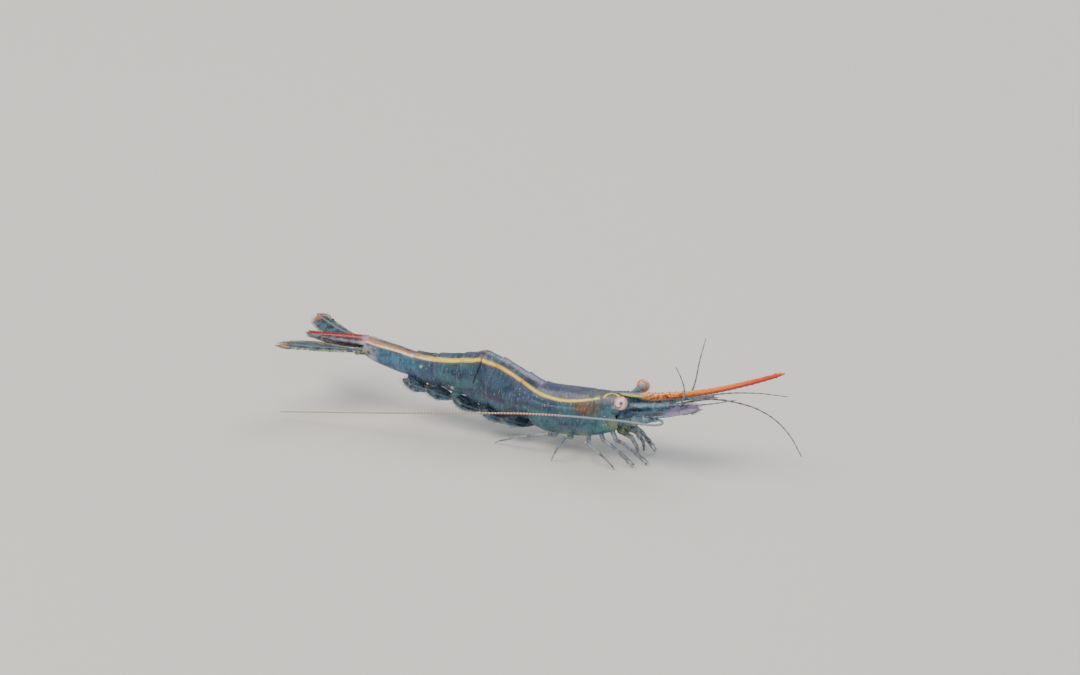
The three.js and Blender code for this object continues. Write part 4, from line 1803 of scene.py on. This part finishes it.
# The root, knee, wrist and tip of each clawed leg, and the root, knee, wrist and foot of each walking leg.
CLAW_LEGS = {
    "claw_leg_1_right": ((-1.1, 0.85, 1.5), (-0.1, 1.4, 1.55), (0.9, 1.4, 1.0), (1.7, 1.25, 0.35)),
    "claw_leg_1_left": ((-1.1, 0.85, 1.5), (-0.3, 1.4, 1.55), (0.6, 1.45, 1.0), (1.2, 1.25, 0.4)),
    "claw_leg_2_right": ((-2.0, 0.95, 1.35), (-1.1, 2.05, 1.7), (0, 2.25, 1.2), (0.95, 2.1, 0.35)),
    "claw_leg_2_left": ((-2.0, 0.95, 1.35), (-1.3, 2.0, 1.7), (-0.3, 2.2, 1.2), (0.4, 2.1, 0.4)),
}
WALKING_LEGS = {
    "walking_leg_1_right": ((-3.0, 1.05, 1.2), (-2.5, 2.6, 1.6), (-0.95, 3.0, 0.95), (0, 3.0, 0)),
    "walking_leg_1_left": ((-3.0, 1.05, 1.2), (-2.6, 2.5, 1.8), (-1.5, 3.0, 1.1), (-0.9, 3.0, 0)),
    "walking_leg_2_right": ((-4.3, 1.1, 1.15), (-4.1, 2.7, 1.85), (-4.5, 3.3, 1.1), (-4.9, 3.5, 0)),
    "walking_leg_2_left": ((-4.3, 1.1, 1.15), (-4.2, 2.6, 1.9), (-4.8, 3.1, 1.15), (-5.4, 3.3, 0)),
    "walking_leg_3_right": ((-5.5, 1.1, 1.15), (-5.9, 2.2, 1.5), (-7.6, 2.4, 1.15), (-10.2, 2.2, 0)),
    "walking_leg_3_left": ((-5.5, 1.1, 1.15), (-5.9, 2.2, 1.6), (-7.5, 2.6, 1.2), (-9.9, 2.6, 0)),
}


def up_by(height: float) -> Vector:
    """A step straight up."""
    return Vector((0, 0, height))


@dataclass
class Legs(SubAssembly):
    """The two pairs of clawed legs with their brushes, and the three pairs of walking legs."""

    claw_girths: tuple[float, ...] = (0.21, 0.16, 0.135, 0.11, 0.15, 0.135)
    walking_girths: tuple[float, ...] = (0.22, 0.17, 0.14, 0.11, 0.085, 0.055)
    finger: float = 0.42
    brush_hairs: int = 26
    brush_reach: Pair = (0.22, 0.34)
    shin_spines: int = 9
    thigh_spines: int = 4

    def taper(self, points: Sequence[Vector], steps: int, thick: float, thin: float) -> Surface:
        """A finger or a hook along a curve, without the mark joint, from one half thickness to another."""
        return sweep(curve(points, steps), lambda t: (mix(thick, thin, t),) * 2, sides=9).stamp(joint=0.0)

    def clawed(self, node: str, coat: Coat) -> Surface:
        """One clawed leg, and its share of the brushes.

        Args:
            node: the solid that it stands for.
            coat: the hairs that its brushes are added to.

        Returns:
            The leg.
        """
        side = side_of(node)
        root, knee, wrist, tip = side.path(CLAW_LEGS[node])
        ahead = (tip - wrist).normalized()
        palm = tip - ahead * self.finger
        hip, thigh, heel = root + side.at(-0.35, -0.25, 0.75), root.lerp(knee, 0.3), wrist.lerp(palm, 0.35)
        made = limb([hip, thigh, knee, wrist, heel, palm], self.claw_girths)
        spread = ahead.cross(Vector((0, 1, 0))).normalized()
        place = 0.02 + 0.2 * list(CLAW_LEGS).index(node)
        for way in (1, -1):
            start = palm + spread * (0.07 * way)
            end = tip + spread * (0.1 * way)
            middle = start.lerp(end, 0.5) + spread * (0.07 * way)
            made.add(self.taper([start, middle, end], 6, 0.09, 0.035))
            for _ in range(self.brush_hairs):
                hair = (ahead + coat.way(0.3)).normalized() * coat.random.uniform(*self.brush_reach)
                hair.z = max(hair.z, 0.05 - end.z)
                coat.grow(end, hair, (place, 0.4 + 0.1 * way))
        return made

    def walking(self, node: str) -> Surface:
        """One walking leg down to its hooked claw, with the spinules behind it.

        Args:
            node: the solid that it stands for.

        Returns:
            The leg.
        """
        side = side_of(node)
        root, knee, wrist, foot = side.path(WALKING_LEGS[node])
        ankle = wrist.lerp(foot, 0.78) + up_by(0.1)
        hip, thigh = root + side.at(-0.1, -0.25, 0.6), root.lerp(knee, 0.22)
        shin = wrist.lerp(ankle, 0.2)
        made = limb([hip, thigh, knee, knee.lerp(wrist, 0.62), shin, ankle], self.walking_girths)
        made.add(self.taper([ankle, ankle.lerp(foot, 0.55) + up_by(0.05), foot + up_by(0.02)], 8, 0.075, 0.018))
        for i in range(self.shin_spines):
            start = shin.lerp(ankle, 0.15 + 0.09 * i)
            tip = start + (ankle - start).normalized() * 0.13 - up_by(0.1)
            made.add(spine(start, tip, 0.022).stamp(joint=0.2))
        for i in range(self.thigh_spines):
            start = knee.lerp(root, 0.12 + 0.16 * i)
            tip = start + (knee - root).normalized() * 0.14 - up_by(0.24)
            made.add(spine(start - up_by(0.1), tip, 0.03).stamp(joint=0.2))
        return made

    def build(self) -> None:
        """Builds all ten legs and the brushes of the claws."""
        coat = Coat("claw_brushes", 37)
        for node in CLAW_LEGS:
            self.piece(node + "_limb", self.clawed(node, coat), LIMB, Slot.LIMB, [node])
        coat.dress(BRISTLE, Slot.LIMB)
        for node in WALKING_LEGS:
            self.piece(node + "_limb", self.walking(node), LIMB, Slot.LIMB, [node])


@dataclass
class SwimmingLegs(SubAssembly):
    """The five pairs of swimming legs, folded back, each with a stem, two paddles and their bristles."""

    shell: Shell
    outline: Profile = Profile(((0, 0.2), (0.15, 0.38), (0.45, 0.5), (0.75, 0.42), (0.92, 0.22), (1, 0.04)))
    stem: Profile = Profile(((0, 0.3), (0.3, 0.33), (0.75, 0.27), (1, 0.2)))
    stem_flat: float = 0.62
    paddles: tuple[Spot, ...] = ((0.34, 0.0, 1.0), (-0.14, 0.14, 0.88))  # spread, drop and share of the length
    lengths: Pair = (2.75, 2.35)
    bristles: int = 34
    bristle: float = 0.36

    def leg(self, n: int, side: Side, coat: Coat) -> Surface:
        """One swimming leg, and its share of the bristles.

        Args:
            n: the number of its ring, from 1.
            side: the side that it is on.
            coat: the hairs that it adds to.

        Returns:
            The leg.
        """
        hem = self.shell.rings[n - 1]
        root_x = (JOINTS[n - 1].at + JOINTS[n].at) / 2 + 0.35
        low = (hem.front + hem.rear) / 2 - hem.lobe
        tip_x = root_x - mix(*self.lengths, n / 5)
        belly = 1.0 + 0.2 * max(-8.2 - tip_x, 0)
        knee = side.at(root_x - 0.5, 0.68, low - 0.3)
        hip = side.at(root_x + 0.25, 0.58, low + 0.45)
        path = curve([hip, hip.lerp(knee, 0.5) + side.at(0.06, 0.05, 0), knee], 16)
        made = sweep(path, lambda t: (self.stem(t) * self.stem_flat, self.stem(t)), sides=18)
        made.stamp(cross=0.4, along=0.3)
        for place, (spread, drop, shrink) in enumerate(self.paddles):
            tip = side.at(mix(knee.x, tip_x, shrink), 0.66 + spread, belly + 0.22 + drop)
            start = knee + side.at(0.1, spread * 0.4, 0)
            middle = start.lerp(tip, 0.5) - up_by(0.1)
            across = side.at(0, 1, -0.35)
            blade = Blade((start, middle, tip), self.outline, self.outline, across, 0.07, rows=16, columns=7)
            made.add(blade.surface())
            cell = (n * 2 + place) * 2 + (side is Side.LEFT)
            blade.fringe(coat, ((0.25, 1.0, 1), (0.25, 1.0, -1)), self.bristles, self.bristle, cell)
        return made

    def build(self) -> None:
        """Builds the ten swimming legs and their bristles."""
        coat = Coat("swimming_leg_bristles", 41)
        for n in range(1, 6):
            for side in Side:
                node = f"swimming_leg_{n}_{side.word}"
                self.piece(node + "_limb", self.leg(n, side, coat), PADDLE, Slot.LIMB, [node])
        coat.dress(BRISTLE, Slot.LIMB)


@dataclass(frozen=True)
class FanSide:
    """How one side of the tail fan is held: the ribs of its two blades, and the ways across them."""

    inner: tuple[Spot, ...]
    inner_across: Spot
    outer: tuple[Spot, ...]
    outer_across: Spot


FAN = {
    Side.RIGHT: FanSide(
        ((-21.8, 0.45, 4.56), (-24.2, 0.82, 4.7), (-27.35, 1.45, 4.74)),
        (0, 1, 0),
        ((-21.9, 0.72, 4.75), (-24.3, 2.15, 5.0), (-27.45, 3.2, 5.18)),
        (-0.1, 1, 0),
    ),
    Side.LEFT: FanSide(
        ((-21.8, 0.45, 4.56), (-24.2, 0.82, 4.5), (-27.35, 1.45, 4.55)),
        (0, 1, 0.1),
        ((-21.9, 0.66, 4.82), (-24.4, 1.3, 5.08), (-27.45, 3.05, 5.24)),
        (-0.35, 1, 0.2),
    ),
}


@dataclass
class TailFan(SubAssembly):
    """The telson and the four blades beside it, with their spines and bristles, held a little askew."""

    telson_path: tuple[Spot, ...] = ((-21.6, 0, 5.22), (-24.2, 0, 5.05), (-26.5, 0, 4.88))
    telson_half: Profile = Profile(((0, 0.52), (0.1, 0.58), (0.5, 0.46), (0.85, 0.3), (0.95, 0.22), (1, 0.08)))
    telson_pairs: tuple[float, ...] = (0.36, 0.5, 0.64, 0.78)
    outer_out: Profile = Profile(
        ((0, 0.16), (0.12, 0.3), (0.4, 0.46), (0.75, 0.52), (0.9, 0.44), (0.97, 0.26), (1, 0.06))
    )
    outer_in: Profile = Profile(
        ((0, 0.16), (0.12, 0.38), (0.4, 0.75), (0.68, 0.88), (0.86, 0.72), (0.96, 0.4), (1, 0.08))
    )
    inner_half: Profile = Profile(((0, 0.16), (0.15, 0.34), (0.45, 0.54), (0.75, 0.5), (0.92, 0.3), (1, 0.06)))
    stem: tuple[Spot, ...] = ((-21.2, 0.3, 4.7), (-22.25, 0.7, 4.7))
    seam: float = 0.8  # where the outer blade's joint lies along it
    seam_spines: int = 9

    def telson(self, coat: Coat) -> Surface:
        """The telson, with pairs of spinules on its back and spines at its tip.

        Args:
            coat: the hairs that it adds to.

        Returns:
            The telson.
        """
        path = tuple(Vector(spot) for spot in self.telson_path)
        blade = Blade(path, self.telson_half, self.telson_half, Vector((0, 1, 0)), 0.28, 0.16, columns=18)
        made = blade.surface()
        for share in self.telson_pairs:
            for side in Side:
                root, ahead, _ = blade.edge(share, 0.72 * side.value)
                tip = root + ahead * 0.24 + up_by(0.14)
                made.add(spine(root + up_by(0.06), tip, 0.035).stamp(along=share, cross=0.6))
        for n in range(-4, 5):
            root, ahead, out = blade.edge(0.99, n / 4 if n else 0.01)
            tip = root + ahead * (0.42 - 0.03 * abs(n)) + out * (0.03 * abs(n))
            made.add(spine(root, tip, 0.03).stamp(along=0.9, cross=0.6))
        blade.fringe(coat, ((0.9, 1.0, 1), (0.9, 1.0, -1)), 10, 0.3, 0)
        return made

    def outer(self, blade: Blade, side: Side) -> Surface:
        """One outer blade with its stem, its corner spine and the spinules of its seam.

        Args:
            blade: its form.
            side: the side that it is on.

        Returns:
            The blade.
        """
        stem = limb(side.path(self.stem), (0.36, 0.32), flat=0.85, sides=16).stamp(cross=0.66, along=0.3)
        made = blade.surface().add(stem)
        corner, ahead, _ = blade.edge(self.seam, 1)
        made.add(spine(corner - ahead * 0.3, corner + ahead * 0.3, 0.06).stamp(along=0.8, cross=0.9))
        for i in range(self.seam_spines):
            root, ahead, _ = blade.edge(self.seam + 0.004 * i, mix(0.85, -0.75, i / (self.seam_spines - 1)))
            made.add(spine(root, root + ahead * 0.16 + up_by(0.07), 0.025).stamp(along=0.8, cross=0.0))
        return made

    def build(self) -> None:
        """Builds the five blades, their stems and their bristles."""
        coat = Coat("tail_bristles", 53)
        self.piece("telson_blade", self.telson(coat), TELSON, Slot.FIN, ["telson"])
        for n, (side, held) in enumerate(FAN.items()):
            path, half = tuple(side.path(held.inner)), self.inner_half
            blade = Blade(path, half, half, side.at(*held.inner_across), 0.1, 0.06)
            node = f"tail_blade_inner_{side.word}"
            self.piece(node + "_fin", blade.surface(), INNER, Slot.FIN, [node])
            blade.fringe(coat, ((0.35, 1.0, 1), (0.35, 1.0, -1)), 110, 0.4, 1 + n)
            path = tuple(side.path(held.outer))
            blade = Blade(path, self.outer_out, self.outer_in, side.at(*held.outer_across), 0.1, 0.05)
            node = f"tail_blade_outer_{side.word}"
            self.piece(node + "_fin", self.outer(blade, side), OUTER, Slot.FIN, [node])
            blade.fringe(coat, ((0.3, 1.0, -1), (0.82, 1.0, 1)), 120, 0.42, 3 + n)
        coat.dress(BRISTLE, Slot.FIN)


# ---- Studio ----


@dataclass(frozen=True)
class Lamp:
    """A soft square lamp that faces the animal: its place and its side in metres, and its power in watts."""

    name: str
    place: Spot
    size: float
    power: float
    hue: str

    def build(self) -> None:
        """Hangs the lamp."""
        light = bpy.data.lights.new(self.name, "AREA")
        light.shape = "SQUARE"
        light.size = self.size
        light.energy = self.power
        light.color = tint(self.hue)[:3]
        made = bpy.data.objects.new(self.name, light)
        made.location = self.place
        made.rotation_euler = (up_by(0.004) - Vector(self.place)).to_track_quat("-Z", "Y").to_euler()
        bpy.context.scene.collection.objects.link(made)


@dataclass
class Studio:
    """A plain pale floor, soft light and the camera."""

    azimuth: float = 26.0
    elevation: float = 22.0
    distance: float = 1500.0
    frame_width: float = 79.56
    sensor: float = 36.0
    aim_right: float = -6.778
    aim_up: float = 4.214
    floor_half: float = 3.0
    floor_tint: str = "d9d9d6"
    room_tint: str = "dfe4ea"
    room_strength: float = 0.45
    lamps: tuple[Lamp, ...] = (
        Lamp("key", (-0.16, -0.16, 0.4), 0.35, 2.2, "fff4e6"),
        Lamp("fill", (0.3, -0.36, 0.16), 0.4, 1.1, "eef4ff"),
        Lamp("rim", (0.05, 0.35, 0.3), 0.25, 0.9, "ffffff"),
    )

    def floor(self) -> None:
        """Lays the floor under the feet."""
        mesh = bpy.data.meshes.new("floor")
        half = self.floor_half
        corners = [(-half, -half, 0), (half, -half, 0), (half, half, 0), (-half, half, 0)]
        mesh.from_pydata(corners, [], [(0, 1, 2, 3)])
        made = bpy.data.objects.new("floor", mesh)
        bpy.context.scene.collection.objects.link(made)
        paper = bpy.data.materials.new("floor_pale")
        paper.use_nodes = True
        shader = paper.node_tree.nodes["Principled BSDF"]
        shader.inputs["Base Color"].default_value = tint(self.floor_tint)
        shader.inputs["Roughness"].default_value = 0.9
        shader.inputs["Specular IOR Level"].default_value = 0.2
        mesh.materials.append(paper)
        made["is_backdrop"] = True

    def camera(self) -> None:
        """Sets up the camera, aimed beside the eyes so that the whole animal is framed."""
        turn, lift = math.radians(self.azimuth), math.radians(self.elevation)
        back = Vector((math.sin(turn) * math.cos(lift), -math.cos(turn) * math.cos(lift), math.sin(lift)))
        right = Vector((math.cos(turn), math.sin(turn), 0))
        up = back.cross(right)
        aim = EYES + (right * self.aim_right + up * self.aim_up) * MM
        view = bpy.data.cameras.new("camera")
        view.sensor_width = self.sensor
        view.lens = self.sensor * self.distance / self.frame_width
        view.clip_start = 0.05
        view.clip_end = 10
        made = bpy.data.objects.new("camera", view)
        made.location = aim + back * (self.distance * MM)
        made.rotation_euler = (-back).to_track_quat("-Z", "Y").to_euler()
        bpy.context.scene.collection.objects.link(made)
        bpy.context.scene.camera = made

    def build(self) -> None:
        """Lays the floor, hangs the lamps, fills the room with soft light and sets up the camera."""
        self.floor()
        for lamp in self.lamps:
            lamp.build()
        room = bpy.data.worlds.new("room")
        room.use_nodes = True
        sky = room.node_tree.nodes["Background"]
        sky.inputs["Color"].default_value = tint(self.room_tint)
        sky.inputs["Strength"].default_value = self.room_strength
        bpy.context.scene.world = room
        self.camera()


def main() -> None:
    """Builds the studio and each sub-assembly in turn, and works out how big the model came out."""
    logging.basicConfig(level=logging.INFO, format="%(name)s: %(message)s")
    shell = Shell()
    parts = (
        Studio(), shell, Rostrum(), Eyes(), Feelers(), AntennalScales(), Mouth(), Legs(), SwimmingLegs(shell),
        TailFan(),
    )
    for part in parts:
        log.info("building %s", type(part).__name__)
        part.build()
    boxes = {"cad": CAD_BOX, "visual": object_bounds()}
    {name: [list(corner) for corner in box] for name, box in boxes.items()}


if __name__ == "__main__":
    main()
